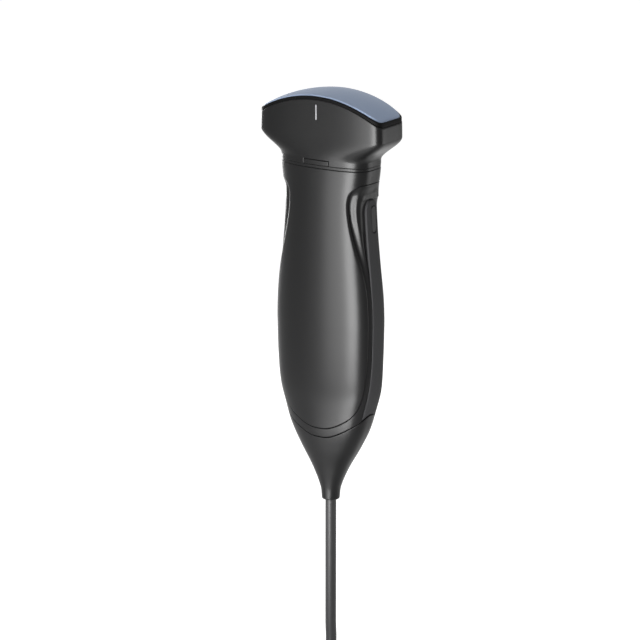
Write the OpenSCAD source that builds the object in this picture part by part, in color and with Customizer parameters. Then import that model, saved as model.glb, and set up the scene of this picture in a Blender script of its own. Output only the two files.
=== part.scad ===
// Handheld convex ultrasound probe of a bladder scanner, with its cable put away in a coil.
// Millimetres. The origin is the middle of the neck seam, +Z points to the lens, -Y is the front.

/* [Head] */
// Width of the nose housing across the array
head_w = 67.6; // [64:0.2:74]
// Depth of the nose housing, front to back
head_d = 24.4; // [23.6:0.2:28]
// Height of the lens crest above the neck seam
crest_h = 33.2; // [32:0.1:36]
// Radius of the curved array
array_r = 60; // [54:0.5:66]
// Clearance from the side of the head to the array
array_edge = 5.8; // [4.8:0.1:8.8]
// Elevation width of the array
array_d = 14; // [12:0.1:14.6]
// Height where the flare leaves the neck
flare_start = 2; // [1:0.1:3]
// Height where the flare reaches its full width
flare_end = 13.5; // [12.5:0.1:14.5]
// Narrowing of the housing between the flare and its rim
head_draft = 1.2; // [0:0.1:2]
// Corner exponent of the head's plan outline
head_square = 6; // [4:0.5:8]
// Length of the centre mark
mark_l = 7; // [4:0.5:9]
// Width of the centre mark
mark_w = 0.6; // [0.4:0.1:1]

/* [Lens and seal] */
// Thickness of the lens at its edge over the array
lens_t = 1.3; // [1.1:0.1:1.8]
// Rise of the lens crown above its front and rear edges
lens_crown = 1.2; // [0.6:0.1:1.6]
// Height of the lens side that shows above the gasket
lens_lip = 0.7; // [0.5:0.05:0.9]
// Step from the housing's outline in to the lens
lens_inset = 0.5; // [0.3:0.1:0.8]
// Height of the gasket between housing and lens
gasket_h = 0.9; // [0.6:0.1:1.2]

/* [Neck] */
// Width of the neck at its seam
neck_w = 48.6; // [46.6:0.2:54]
// Depth of the neck at its seam
neck_d = 25.2; // [24.6:0.2:28]
// Corner exponent of the neck's plan outline
neck_square = 3.1; // [2.4:0.1:4]
// Height of the seal ring between nose and handle
seal_h = 1.5; // [1:0.1:2]
// Width of the latch tab above the seal
tab_w = 13.6; // [10:0.2:16]
// Height of the latch tab
tab_h = 2.4; // [1.8:0.1:2.8]

/* [Grip] */
// Length from the neck seam to the end of the boot
handle_l = 164; // [158:1:172]
// Width at the waist under the neck
waist_w = 45.9; // [45.2:0.1:48]
// Drop from the neck seam to the waist
waist_drop = 13.5; // [12:0.5:15]
// Largest width of the grip
grip_w = 54.8; // [52:0.2:60]
// Largest depth of the grip
grip_d = 26.8; // [26:0.2:30]
// Drop from the neck seam to the widest place
belly_drop = 76; // [70:1:80]
// Corner exponent of the grip's plan outline
grip_square = 2.8; // [2.4:0.1:3.4]
// Wall thickness of the housings
wall = 2; // [1.6:0.1:2.2]
// Drop to the lower edge of the front cover's collar
collar_drop = 8; // [7:0.2:9]
// Drop to the lowest point of the front cover
panel_drop = 126.5; // [124:0.5:127.5]
// Rise of the front cover's lower edge from its middle to its corners
sill_rise = 5.5; // [4:0.5:7]
// Drop to the boot's seam at the front and rear
boot_front_drop = 131; // [130:0.5:133]
// Drop to the boot's seam at the sides
boot_side_drop = 119; // [117:0.5:121]

/* [Side grips and key] */
// Depth of the scooped recess beside the front cover
scoop_t = 1.3; // [0.6:0.1:1.5]
// Depth of the same recess along the lower grip
scoop_low_t = 0.4; // [0.2:0.1:0.6]
// Drop to the top of the recess
scoop_drop = 10.2; // [9.6:0.1:10.6]
// Drop to the arched top of the side pad
pad_drop = 15.5; // [15:0.1:16]
// Half the angle that a pad spans, seen from the probe's axis
pad_angle = 21; // [19:0.5:22]
// Depth of the pocket that holds a pad
pocket_t = 1.7; // [1.6:0.1:1.9]
// Wall behind the pad's pocket
pocket_wall = 1.3; // [1.1:0.1:1.4]
// Step from the grip's outline in to the pad's surface
pad_step = 0.25; // [0.1:0.05:0.4]
// Length of the scan key
key_l = 12.5; // [10:0.5:14]
// Width of the scan key
key_w = 3.6; // [3:0.1:4]
// Drop to the middle of the scan key
key_drop = 25.2; // [24.6:0.2:26.4]
// Offset of the scan key to the rear of the pad's middle
key_shift = 1; // [0:0.1:1.4]
// Travel of the scan key
key_travel = 0.6; // [0.3:0.05:0.65]
// Height of the key above the pad at rest
key_proud = 0.2; // [0:0.05:0.4]
// Running gap round the key
key_gap = 0.25; // [0.15:0.05:0.35]

/* [Electronics] */
// Width of the main board
board_w = 31; // [29:0.5:31.5]
// Length of the main board
board_l = 98; // [90:1:99]
// Thickness of the main board
board_t = 1.6; // [1:0.1:1.8]
// Thickness of the frame's ribs
rib_t = 2; // [1.6:0.1:2.6]
// Side of a beamformer chip
chip_w = 11; // [8:0.5:12]
// Width of the shield can
can_w = 18; // [14:0.5:18.5]
// Length of the shield can
can_l = 36; // [30:1:38]
// Thickness of the heat spreader
spreader_t = 1.2; // [0.8:0.1:1.6]

/* [Cable and plug] */
// Diameter of the cable
cable_d = 5.2; // [4.8:0.1:5.2]
// Diameter of the boot's end collar
boot_end_d = 8.4; // [8:0.1:9]
// Radius of the coil's outer turn, to the middle of the cable
coil_r = 40; // [39:0.5:44]
// Step from one turn or layer to the next
coil_pitch = 5.8; // [5.8:0.05:6]
// Width of the plug's body
plug_w = 11.6; // [11:0.1:12.3]
// Thickness of the plug's body
plug_t = 6; // [5.6:0.1:6.4]
// Length of the plug's body
plug_l = 22; // [18:0.5:24]
// Length of the plug's strain relief
relief_l = 12; // [10:0.5:14]

/* [Hidden] */

// Facets of the round pieces
$fn = 64;
// Gap along a parting line
seam_gap = 0.15;
// Gap round a piece that is fitted loosely
fit_gap = 0.3;
// Overrun of every cut
over = 1;

// Colours of the materials
charcoal = [0.16, 0.16, 0.17];
soft_grey = [0.21, 0.21, 0.22];
black = [0.06, 0.06, 0.07];
lens_blue = [0.62, 0.67, 0.78];
board_green = [0.05, 0.3, 0.18];
steel = [0.72, 0.73, 0.75];
gold = [0.83, 0.68, 0.3];
film = [0.78, 0.5, 0.2];

// Widths and depths between the belly and the boot's end, as shares of the way down and of the change
taper_shares = [[0, 1], [0.2, 0.98], [0.36, 0.93], [0.48, 0.81], [0.59, 0.68], [0.7, 0.475], [0.82, 0.215],
    [0.93, 0.035], [1, 0]];
// Front cover's side edge: share of the panel's drop, and the angle from the side towards the front
edge_shares = [[0.063, 33], [0.078, 41], [0.095, 45], [0.134, 48], [0.19, 47], [0.245, 44], [0.3, 40],
    [0.345, 36], [0.395, 32.5], [0.46, 29.5], [0.63, 28.8], [0.71, 29.3], [0.78, 30.8], [0.865, 34.2],
    [0.925, 40], [0.957, 50]];

// Blends and curves
function mix(a, b, t) = a + (b - a) * t;
function bound(t) = min(1, max(0, t));
function ease(t) = let (c = bound(t)) c * c * (3 - 2 * c);
function find_row(t, rows, i = 0) =
    (i >= len(rows) - 2 || t < rows[i + 1][0]) ? i : find_row(t, rows, i + 1);
function rise(a, b) = (b[1] - a[1]) / (b[0] - a[0]);
function slope(rows, i) = rise(rows[max(0, i - 1)], rows[min(len(rows) - 1, i + 1)]);
function curve(t, rows) =
    let (i = find_row(t, rows), a = rows[i], b = rows[i + 1], h = b[0] - a[0], u = bound((t - a[0]) / h))
    let (u2 = u * u, u3 = u2 * u)
    a[1] * (2 * u3 - 3 * u2 + 1) + slope(rows, i) * h * (u3 - 2 * u2 + u)
        + b[1] * (3 * u2 - 2 * u3) + slope(rows, i + 1) * h * (u3 - u2);
function steps(a, b, count) = [for (i = [0 : count - 1]) mix(a, b, i / count)];

// Outline of the probe at the height z: half width, half depth and corner exponent
function taper(z) = curve((-z - belly_drop) / (handle_l - belly_drop), taper_shares);
function flare(z) = ease((z - flare_start) / (flare_end - flare_start));
function draft(z) = head_draft * ease((z - flare_end) / (crest_h - flare_end));
function half_w(z) =
    z >= 0 ? (mix(neck_w, head_w, flare(z)) - draft(z)) / 2
    : -z < waist_drop ? mix(neck_w, waist_w, ease(-z / waist_drop)) / 2
    : -z < belly_drop ? mix(waist_w, grip_w, ease((-z - waist_drop) / (belly_drop - waist_drop))) / 2
    : mix(boot_end_d, grip_w, taper(z)) / 2;
function half_d(z) =
    z >= 0 ? mix(neck_d, head_d, flare(z)) / 2
    : -z < belly_drop ? mix(neck_d, grip_d, ease(-z / belly_drop)) / 2
    : mix(boot_end_d, grip_d, taper(z)) / 2;
function square_of(z) =
    z >= 0 ? mix(neck_square, head_square, flare(z))
    : -z < belly_drop ? mix(neck_square, grip_square, ease(-z / belly_drop))
    : mix(2, grip_square, sqrt(bound(taper(z))));

// Point of a rounded outline: angle 0 is the right side, 90 the front
function bulge(n, phi) = pow(pow(abs(cos(phi)), n) + pow(abs(sin(phi)), n), -1 / n);
function outline_point(a, b, n, phi, z) =
    [a * cos(phi) * bulge(n, phi), -b * sin(phi) * bulge(n, phi), z];
function body_point(z, phi, inset) =
    outline_point(half_w(z) - inset, half_d(z) - inset, square_of(z), phi, z);
function flat(points) = [for (p = points) [p[0], p[1]]];

// Angles round a full outline, closer together at its corners
function corner_angles(count) = [for (i = [0 : count - 1]) let (u = 360 * i / count) u + 7 * sin(4 * u)];
// Angle that a gap spans on the outline at the height z
function gap_angle(gap, z) = gap * 360 / (PI * (half_w(z) + half_d(z)));

// Angle of the front cover's side edge at the height z
function edge_angle(z) = curve(-z / panel_drop, edge_shares);
edge_end_angle = edge_shares[len(edge_shares) - 1][1];
// Angle between the side and a place on the outline, from 0 to 90
function side_angle(phi) = asin(min(1, abs(sin(phi))));
// Drop of the front cover's lower edge and of the boot's seam
function sill_drop(phi) = panel_drop - sill_rise * pow(bound(abs(cos(phi)) / cos(edge_end_angle)), 2.4);
function boot_drop(phi) = mix(boot_side_drop, boot_front_drop, ease((side_angle(phi) - 4) / 80));

// Faces of one quad as two triangles
function quad(a, b, c, d) = [[a, b, c], [a, c, d]];
function join(lists) = [for (l = lists) each l];

// Closed skin round the cells of two grids of points, rows from the top down and angles growing
module skin(outer, inner, wrap, keep) {
    rows = len(outer);
    cols = len(outer[0]);
    last = wrap ? cols - 1 : cols - 2;
    size = rows * cols;
    has = function (k, i)
        k >= 0 && k <= rows - 2 && (wrap || (i >= 0 && i <= last)) && keep(k, (i + cols) % cols);
    faces = [for (k = [0 : rows - 2], i = [0 : last])
        if (keep(k, i))
            let (j = (i + 1) % cols, a = k * cols + i, b = k * cols + j, c = b + cols, d = a + cols)
            concat(quad(b, a, d, c),
                quad(c + size, d + size, a + size, b + size),
                has(k - 1, i) ? [] : quad(b + size, a + size, a, b),
                has(k + 1, i) ? [] : quad(c, d, d + size, c + size),
                has(k, i - 1) ? [] : quad(a, a + size, d + size, d),
                has(k, i + 1) ? [] : quad(c, c + size, b + size, b))];
    polyhedron(points = concat(join(outer), join(inner)), faces = join(faces), convexity = 6);
}

// Closed tube swept along a list of centre points, with square ends
module tube(path, r, sides, side_way, start_way, end_way) {
    last = len(path) - 1;
    ways = [for (i = [0 : last])
        i == 0 ? start_way : i == last ? end_way : path[i + 1] - path[i - 1]];
    rings = [for (i = [0 : last])
        let (t = ways[i] / norm(ways[i]), n = cross(t, side_way), a = n / norm(n), b = cross(a, t))
        [for (s = [0 : sides - 1]) path[i] + r * (a * cos(360 * s / sides) + b * sin(360 * s / sides))]];
    walls = [for (i = [0 : last - 1], s = [0 : sides - 1])
        let (j = (s + 1) % sides)
        quad(i * sides + s, i * sides + j, (i + 1) * sides + j, (i + 1) * sides + s)];
    near_end = [for (s = [1 : sides - 2]) [0, s + 1, s]];
    far_end = [for (s = [1 : sides - 2]) [last * sides, last * sides + s, last * sides + s + 1]];
    polyhedron(points = join(rings), faces = concat(join(walls), near_end, far_end), convexity = 8);
}

// Smooth path through a list of points, with a number of steps between two of them
function spline_point(p, i, u) =
    let (a = p[max(0, i - 1)], b = p[i], c = p[i + 1], d = p[min(len(p) - 1, i + 2)])
    0.5 * (2 * b + (c - a) * u + (2 * a - 5 * b + 4 * c - d) * u * u + (3 * b - a - 3 * c + d) * u * u * u);
function spline(p, count) =
    concat([for (i = [0 : len(p) - 2], s = [0 : count - 1]) spline_point(p, i, s / count)],
        [p[len(p) - 1]]);

// Lens arc: the array curves about an axis that runs front to back
match_t = 0.5;
piezo_t = 0.5;
backing_t = 7;
lens_r = array_r + match_t + lens_t;
arc_z = crest_h - lens_crown - lens_r;
rim_r = lens_r - lens_lip - gasket_h;
array_w = head_w - 2 * array_edge;
arc_angle = asin(array_w / 2 / array_r);
function arc_height(r, x) = arc_z + sqrt(r * r - x * x);
rim_end_z = arc_height(rim_r, (head_w - head_draft) / 2);
tab_angle = acos(tab_w / neck_w);
quarter_angles = concat(steps(0, 28, 3), steps(28, 58, 6), steps(58, tab_angle, 2), steps(tab_angle, 90, 2));
half_angles = concat(quarter_angles, [90],
    [for (i = [len(quarter_angles) - 1 : -1 : 1]) 180 - quarter_angles[i]]);
head_angles = concat(half_angles, [for (a = half_angles) 180 + a]);
tab_first = 11;
tab_last = 14;
lens_angle = 35;

module arc_band(r0, r1, depth, half_angle, crown = 0) {
    section = concat([[r0, -depth / 2], [r0, depth / 2]],
        [for (i = [8 : -1 : 0]) let (s = i / 4 - 1) [r1 + crown * (1 - s * s), s * depth / 2]]);
    translate([0, 0, arc_z])
        rotate([90, 0, 0])
            rotate([0, 0, 90 - half_angle])
                rotate_extrude(angle = 2 * half_angle, $fn = 96)
                    polygon(section);
}

module head_outline(inset) {
    z = rim_end_z;
    linear_extrude(height = crest_h + over)
        polygon(flat([for (phi = head_angles) body_point(z, phi, inset)]));
}

// Window of the gasket and the carrier, round the array
module array_window(gap) {
    translate([-array_w / 2 - gap, -array_d / 2 - gap, 0])
        cube([array_w + 2 * gap, array_d + 2 * gap, crest_h + over]);
}

module acoustic_lens() {
    color(lens_blue) {
        intersection() {
            arc_band(rim_r + gasket_h, lens_r, head_d, lens_angle, lens_crown);
            head_outline(lens_inset);
        }
        intersection() {
            arc_band(array_r + match_t, rim_r + gasket_h, head_d, lens_angle);
            array_window(fit_gap);
        }
    }
}

module lens_gasket() {
    color(black)
        difference() {
            intersection() {
                arc_band(rim_r, rim_r + gasket_h, head_d, lens_angle + 1);
                head_outline(seam_gap);
            }
            array_window(2 * fit_gap);
        }
}

// Rows of the nose: the upper ones bend to the rim's arc
nose_shares = [1, 0.86, 0.72, 0.58, 0.43, 0.3];
nose_rim_shares = [0, 0.25, 0.6];
nose_base_z = flare_end + seal_h / 3;
function nose_point(v, z, phi, inset) =
    let (nominal = v < 1 ? mix(rim_end_z, z, v) : z,
        p = body_point(nominal, phi, inset))
    [p[0], p[1], v < 1 ? mix(arc_height(rim_r, p[0]), z, v) : z];

module nose_housing() {
    rows = concat([for (v = nose_rim_shares) [v, nose_base_z]], [for (s = nose_shares) [1, s * nose_base_z]],
        [[1, tab_h], [1, 0]]);
    outer = [for (r = rows) [for (phi = head_angles) nose_point(r[0], r[1], phi, 0)]];
    inner = [for (r = rows) [for (phi = head_angles) nose_point(r[0], r[1], phi, wall)]];
    base = len(rows) - 2;
    color(charcoal)
        skin(outer, inner, true, function (k, i) k < base || i < tab_first || i > tab_last);
}

module latch_tab() {
    low = head_angles[tab_first] + gap_angle(seam_gap, 0);
    angles = [for (i = [0 : 4]) mix(low, 180 - low, i / 4)];
    heights = [tab_h - seam_gap, tab_h / 2, 0];
    outer = [for (z = heights) [for (phi = angles) body_point(z, phi, 0)]];
    inner = [for (z = heights) [for (phi = angles) body_point(z, phi, wall)]];
    color(charcoal)
        skin(outer, inner, false, function (k, i) true);
}

// Thin raised line on the front of the nose, over the middle of the array
mark_t = 0.15;
mark_top_gap = 2.4;
module centre_mark() {
    top = arc_height(rim_r, 0) - mark_top_gap;
    face = half_d(rim_end_z) + mark_t;
    color([0.8, 0.8, 0.8])
        translate([-mark_w / 2, -face, top - mark_l])
            cube([mark_w, mark_t, mark_l]);
}

module matching_layer() {
    color([0.35, 0.35, 0.4])
        arc_band(array_r, array_r + match_t, array_d, arc_angle);
}

module piezo_array() {
    color([0.75, 0.7, 0.55])
        arc_band(array_r - piezo_t, array_r, array_d, arc_angle);
}

module backing_block() {
    color([0.25, 0.22, 0.2])
        arc_band(array_r - piezo_t - backing_t, array_r - piezo_t, array_d, arc_angle);
}

// Carrier of the transducer stack, a frame round the backing
carrier_share = 0.71;
carrier_t = carrier_share * (rim_end_z - mix(flare_start, flare_end, 0.5));
module array_carrier() {
    gap = seam_gap;
    color([0.3, 0.3, 0.32])
        difference() {
            intersection() {
                arc_band(rim_r - carrier_t, rim_r - fit_gap, head_d, lens_angle);
                head_outline(wall + 2 * fit_gap);
            }
            arc_band(rim_r - carrier_t - over, rim_r + over, array_d + 2 * gap, arc_angle + gap);
        }
}

// Flexible circuits from the backing down to the sockets on the board
film_t = 0.3;
film_w = 24;
film_top_y = 6.6;
film_bend_z = 12;
film_low_z = 0.8;
socket_y = 1.1;
socket_top_drop = 7.2;
socket_w = 26;
socket_h = 4;
socket_t = 2;
film_edge_gap = 0.15;
module flex(front) {
    film_top_z = arc_height(array_r - piezo_t - backing_t, film_w / 2) - film_edge_gap;
    low_y = board_t / 2 + socket_y;
    path = [[film_top_y, film_top_z], [film_top_y, film_bend_z], [low_y, film_low_z],
        [low_y, -socket_top_drop]];
    back = [for (i = [3 : -1 : 0]) path[i] + [film_t, 0]];
    color(film)
        mirror([0, front ? 1 : 0, 0])
            translate([-film_w / 2, 0, 0])
                rotate([90, 0, 90])
                    linear_extrude(height = film_w)
                        polygon(concat(path, back));
}

module flex_front() {
    flex(true);
}

module flex_rear() {
    flex(false);
}

module flex_sockets() {
    color([0.9, 0.88, 0.82])
        for (side = [0, 1])
            mirror([0, side, 0])
                translate([-socket_w / 2, board_t / 2, -socket_top_drop - socket_h])
                    cube([socket_w, socket_t, socket_h]);
}

seal_inset = 0.12;
module neck_seal() {
    heights = [0, -seal_h];
    outer = [for (z = heights) [for (phi = head_angles) body_point(z, phi, seal_inset)]];
    inner = [for (z = heights) [for (phi = head_angles) body_point(z, phi, wall)]];
    color(black)
        skin(outer, inner, true, function (k, i) true);
}

// Rows below this drop bend to the lower edges
bend_drop = belly_drop + waist_drop;
function bent(drop, bottom, level_bottom) =
    drop < bend_drop ? drop
    : bend_drop + (drop - bend_drop) * (bottom - bend_drop) / (level_bottom - bend_drop);

// Front cover: a collar round the neck, and a panel that ends in a U
panel_cols = 16;
collar_cols = 26;
edge_roll = 0.3;
sill_end_drop = panel_drop - sill_rise;
function panel_angle(i, z) = let (e = edge_angle(z)) mix(e, 180 - e, i / panel_cols);
function collar_angle(i, z) = let (e = edge_angle(z)) mix(180 - e, 360 + e, i / collar_cols);

module front_cover() {
    collar = concat(steps(seal_h, collar_drop, 2), [collar_drop]);
    panel = concat([scoop_drop - seam_gap * 4], side_drops, steps(bend_drop, sill_end_drop, 7), [sill_end_drop]);
    drops = concat(collar, panel);
    base = len(collar) - 1;
    place = function (d, i)
        i <= panel_cols
            ? [-bent(d, sill_drop(panel_angle(i, -sill_end_drop)), sill_end_drop), panel_angle(i, -d)]
            : [-d, collar_angle(i - panel_cols, -d)];
    roll = function (d, i) d > collar_drop && (i == 0 || i == panel_cols) ? edge_roll : 0;
    cols = panel_cols + collar_cols;
    outer = [for (d = drops) [for (i = [0 : cols - 1])
        let (p = place(d, i)) body_point(p[0], p[1], roll(d, i))]];
    inner = [for (d = drops) [for (i = [0 : cols - 1])
        let (p = place(d, i)) body_point(p[0], p[1], wall)]];
    color(charcoal)
        skin(outer, inner, true, function (k, i) k < base || i < panel_cols);
}

// Scooped recess: its depth along the grip, deep beside the key and shallow below
scoop_fade_top = 40;
scoop_fade_end = 66;
scoop_run = 2;
function scoop(z) =
    mix(scoop_t, scoop_low_t, ease((-z - scoop_fade_top) / (scoop_fade_end - scoop_fade_top)))
        * ease((-z - scoop_drop + scoop_run / 2) / scoop_run)
        * (1 - ease((-z - bend_drop) / (sill_end_drop - bend_drop)));
// Half angle of a pad: arched at its top, wider where the grip narrows
arch_l = 6;
pad_first_share = 0.3;
pad_low_angle = 27;
function pad_half_angle(z) =
    let (t = bound((-z - pad_drop) / arch_l), low = ease((-z - bend_drop) / (boot_side_drop - bend_drop)))
    mix(pad_angle, pad_low_angle, low) * mix(pad_first_share, 1, sqrt(1 - (1 - t) * (1 - t)));
// Window for the key in the wall under the pad
flange_lap = 0.4;
flange_w = key_w + 2 * flange_lap;
flange_l = key_l + 4 * flange_lap;
window_w = flange_w + 2 * key_gap;
window_l = flange_l + 2 * key_gap;
key_mid_z = -key_drop;
function key_angle(y) = -asin(y / (half_d(key_mid_z) - pocket_t - pocket_wall / 3));

// Half of the rear cover's outline, from the front cover's edge to the middle of the back:
// angle, inset of the outer face and inset of the inner face
back_angles_share = [0.12, 0.26, 0.4, 0.54, 0.7, 0.85, 1];
foot_angle = 0.6;
valley_angle = 3;
window_share = 1.08;
function rear_half(z) =
    let (edge = edge_angle(z) - gap_angle(seam_gap, z), pad = pad_half_angle(z), s = scoop(z),
        floor_t = -z < pad_drop ? s : pocket_t, back = -pad - foot_angle - valley_angle * 2,
        thin = wall, thick = pocket_t + pocket_wall, arched = min(1, pad / pad_angle * window_share))
    concat([[edge, s, mix(thin, thick, 0.3)],
        [mix(edge, pad, 0.45), s * 0.7, mix(thin, thick, 0.6)],
        [pad + valley_angle, s * 1.15, thick],
        [pad + foot_angle, s, thick],
        [pad, floor_t, thick],
        [key_angle(key_shift - window_w / 2) * arched, floor_t, thick],
        [key_angle(key_shift) * arched, floor_t, thick],
        [key_angle(key_shift + window_w / 2) * arched, floor_t, thick],
        [-pad, floor_t, thick],
        [-pad - foot_angle, s * 0.6, thick],
        [back, 0, mix(thin, thick, 0.5)]],
        [for (t = back_angles_share) [mix(back, -90, t), 0, thin]]);
half_cols = 18;
close_cols = 7;
rear_top_drop = collar_drop + seam_gap;
side_bottom_drop = boot_side_drop - seam_gap;
window_top_drop = key_drop - window_l / 2;
window_end_drop = key_drop + window_l / 2;
// Level at which the sides of the front opening meet its lower edge
function unbent(d) = bend_drop + (d - bend_drop) * (side_bottom_drop - bend_drop)
    / (boot_drop(edge_end_angle) - seam_gap - bend_drop);
close_drop = unbent(sill_end_drop + seam_gap);
// Rows that the covers and the pads share: down to the belly, and below it
arch_shares = [0.08, 0.2];
side_drops = concat([scoop_drop, scoop_drop + scoop_run / 2, scoop_drop + scoop_run,
    pad_drop - foot_angle * seam_gap, pad_drop], [for (t = arch_shares) pad_drop + arch_l * t],
    [window_top_drop, pad_drop + arch_l, key_drop, window_end_drop],
    steps(window_end_drop + arch_l, bend_drop, 9));
low_drops = concat([for (d = steps(bend_drop, sill_end_drop, 7)) unbent(d)],
    steps(close_drop, side_bottom_drop, 2), [side_bottom_drop]);

module rear_cover() {
    drops = concat([rear_top_drop], side_drops, low_drops);
    close_row = len(drops) - 3;
    window_row = search(window_top_drop, drops)[0];
    ring = function (d)
        let (h = rear_half(-d), n = len(h))
        concat([for (j = [0 : n - 1]) [180 - h[j][0], h[j][1], h[j][2]]],
            [for (j = [n - 2 : -1 : 0]) [360 + h[j][0], h[j][1], h[j][2]]],
            [for (i = [1 : close_cols])
                [mix(360 + h[0][0], 540 - h[0][0], i / (close_cols + 1)), 0, wall]]);
    low_ring = ring(sill_end_drop);
    side_cols = 2 * half_cols - 1;
    height = function (k, i)
        let (phi = low_ring[i][0], bottom = boot_drop(phi) - seam_gap,
            t = max(0, (drops[k] - close_drop) / (side_bottom_drop - close_drop)))
        i < side_cols ? -bent(drops[k], bottom, side_bottom_drop)
            : -mix(sill_drop(phi) + seam_gap, bottom, t);
    place = function (k, i, face)
        let (z = height(k, i), c = ring(i < side_cols ? -z : sill_end_drop)[i])
        body_point(z, c[0], c[face]);
    cols = side_cols + close_cols;
    outer = [for (k = [0 : len(drops) - 1]) [for (i = [0 : cols - 1]) place(k, i, 1)]];
    inner = [for (k = [0 : len(drops) - 1]) [for (i = [0 : cols - 1]) place(k, i, 2)]];
    right_window = 2 * half_cols - 2 - 7;
    color(charcoal)
        skin(outer, inner, true, function (k, i)
            (i < side_cols - 1 || k >= close_row)
            && !(k >= window_row && k < window_row + 3 && i >= right_window && i < right_window + 2));
}

// Side pad: a thin raised inlay with an arched top
bed_gap = 0.08;
module pad(right) {
    shares = [1, 0.75, 0.4, 0, -0.4, -0.75, -1];
    drops = concat([pad_drop + seam_gap], [for (d = side_drops) if (d > pad_drop + seam_gap) d], low_drops);
    height = function (d, s) -bent(d, boot_drop(s * pad_low_angle) - seam_gap, side_bottom_drop);
    angle = function (z, s) s * (pad_half_angle(z + seam_gap) - gap_angle(seam_gap, z));
    turn = right ? 0 : 180;
    place = function (d, s, inset)
        let (z = height(d, s))
        body_point(z, turn - angle(z, s), inset);
    outer = [for (d = drops) [for (s = shares) place(d, s, abs(s) == 1 ? pocket_t / 3 : pad_step)]];
    inner = [for (d = drops) [for (s = shares) place(d, s, pocket_t - bed_gap)]];
    color(soft_grey)
        skin(outer, inner, false, function (k, i) true);
}

module stadium(w, l) {
    translate([-w / 2, -(l - w) / 2])
        square([w, l - w]);
    for (side = [-1, 1])
        translate([0, side * (l - w) / 2])
            circle(d = w);
}

// Solid along +X with its outline in Y and Z
module along_x(x, h) {
    translate([x, key_shift, key_mid_z])
        rotate([90, 0, 90])
            linear_extrude(height = h)
                children();
}

module grip_pad_right() {
    difference() {
        pad(true);
        color(soft_grey)
            along_x(0, grip_w)
                stadium(key_w + 2 * key_gap, key_l + 2 * key_gap);
    }
}

module grip_pad_left() {
    pad(false);
}

// Scan key: a cap in the pad's slot, a flange behind the pad and a stem to the switch
flange_t = 0.8;
flange_gap = 0.1;
stem_r = 1;
key_edge = 0.3;
plunger_h = 0.5;
switch_t = 0.8;
switch_w = 4;
switch_board_t = 0.6;
rail_w = 2.6;
rail_lap = 1.1;
rail_x = board_w / 2 - rail_lap;
rail_out = rail_x + rail_w;
key_top_x = half_w(key_mid_z) - pad_step + key_proud;
key_seat_x = half_w(-key_drop + key_l / 2) - pocket_t;
flange_top_x = key_seat_x - flange_gap;
plunger_top_x = rail_out + switch_board_t + switch_t + plunger_h;
stem_end_x = plunger_top_x + key_travel + seam_gap / 3;
module scan_button() {
    color([0.13, 0.13, 0.14]) {
        along_x(flange_top_x - flange_t, flange_t)
            stadium(flange_w, flange_l);
        along_x(flange_top_x, key_top_x - key_edge - flange_top_x)
            stadium(key_w, key_l);
        along_x(key_top_x - key_edge, key_edge)
            stadium(key_w - key_edge, key_l - key_edge);
        along_x(stem_end_x, flange_top_x - flange_t - stem_end_x)
            circle(r = stem_r);
    }
}

module key_switch() {
    color(steel) {
        along_x(rail_out + switch_board_t, switch_t)
            square([switch_w, switch_w], center = true);
        along_x(plunger_top_x - plunger_h, plunger_h)
            circle(r = stem_r);
    }
}

module switch_board() {
    color(board_green)
        along_x(rail_out, switch_board_t)
            square([switch_w, key_l], center = true);
}

// Frame inside the grip: ribs across and two grooved rails along it
rib_drops_share = [0.08, 0.46, 0.83];
rail_d = 4.4;
window_x = rail_x - fit_gap * 3;
window_y = 7.4;
board_gap = 0.1;
board_top_drop = 2 * seal_h;
board_end_drop = board_top_drop + board_l;
foot_gap = 4.5;
frame_end_drop = board_end_drop + foot_gap;
post_r = 2;
post_x = 7.5;
post_h = 10;
clamp_top_drop = frame_end_drop + post_h;
wire_window_w = 8;
wire_window_d = 5;
wire_y = 4.6;
screw_r = 0.95;
screw_gap = 0.05;
module inner_frame() {
    inset = pocket_t + pocket_wall + fit_gap * 1.5;
    tops = [for (s = rib_drops_share) s * boot_side_drop];
    last_top = frame_end_drop - rib_t;
    color([0.24, 0.24, 0.26])
        difference() {
            union() {
                for (top = [tops[0], tops[1], last_top])
                    translate([0, 0, -top - rib_t])
                        linear_extrude(height = rib_t)
                            polygon(flat([for (phi = corner_angles(40))
                                body_point(-top - (top < belly_drop ? 0 : rib_t), phi, inset)]));
                for (side = [0, 1])
                    mirror([side, 0, 0])
                        translate([rail_x, -rail_d / 2, -frame_end_drop])
                            cube([rail_w, rail_d, frame_end_drop - tops[0]]);
                for (side = [-1, 1])
                    translate([side * post_x, 0, -clamp_top_drop])
                        cylinder(r = post_r, h = clamp_top_drop - frame_end_drop);
            }
            translate([-window_x, -window_y, -last_top + fit_gap])
                cube([2 * window_x, 2 * window_y, last_top]);
            translate([-board_w / 2 - board_gap, -board_t / 2 - board_gap, -board_end_drop - board_gap])
                cube([board_w + 2 * board_gap, board_t + 2 * board_gap, board_end_drop]);
            translate([-wire_window_w / 2, -wire_y - wire_window_d / 2, -frame_end_drop - over])
                cube([wire_window_w, wire_window_d, rib_t + 2 * over]);
            for (side = [-1, 1])
                translate([side * post_x, 0, -clamp_top_drop - over])
                    cylinder(r = screw_r + screw_gap, h = clamp_top_drop - frame_end_drop + over);
        }
}

// Holes of the board and legs of the heat spreader share these places
leg_edge = 5;
leg_end = 3;
leg_x = board_w / 2 - leg_edge;
spreader_l = 56;
spreader_w = 2 * leg_x + 2 * post_r + fit_gap;
can_place_share = 0.56;
can_mid_drop = board_top_drop + board_l * can_place_share;
leg_drops = [can_mid_drop - spreader_l / 2 + leg_end, can_mid_drop + spreader_l / 2 - leg_end];
can_t = 1.8;
hole_gap = 0.15;
module at_legs() {
    for (side = [-1, 1], drop = leg_drops)
        translate([side * leg_x, 0, -drop])
            rotate([-90, 0, 0])
                children();
}

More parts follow.
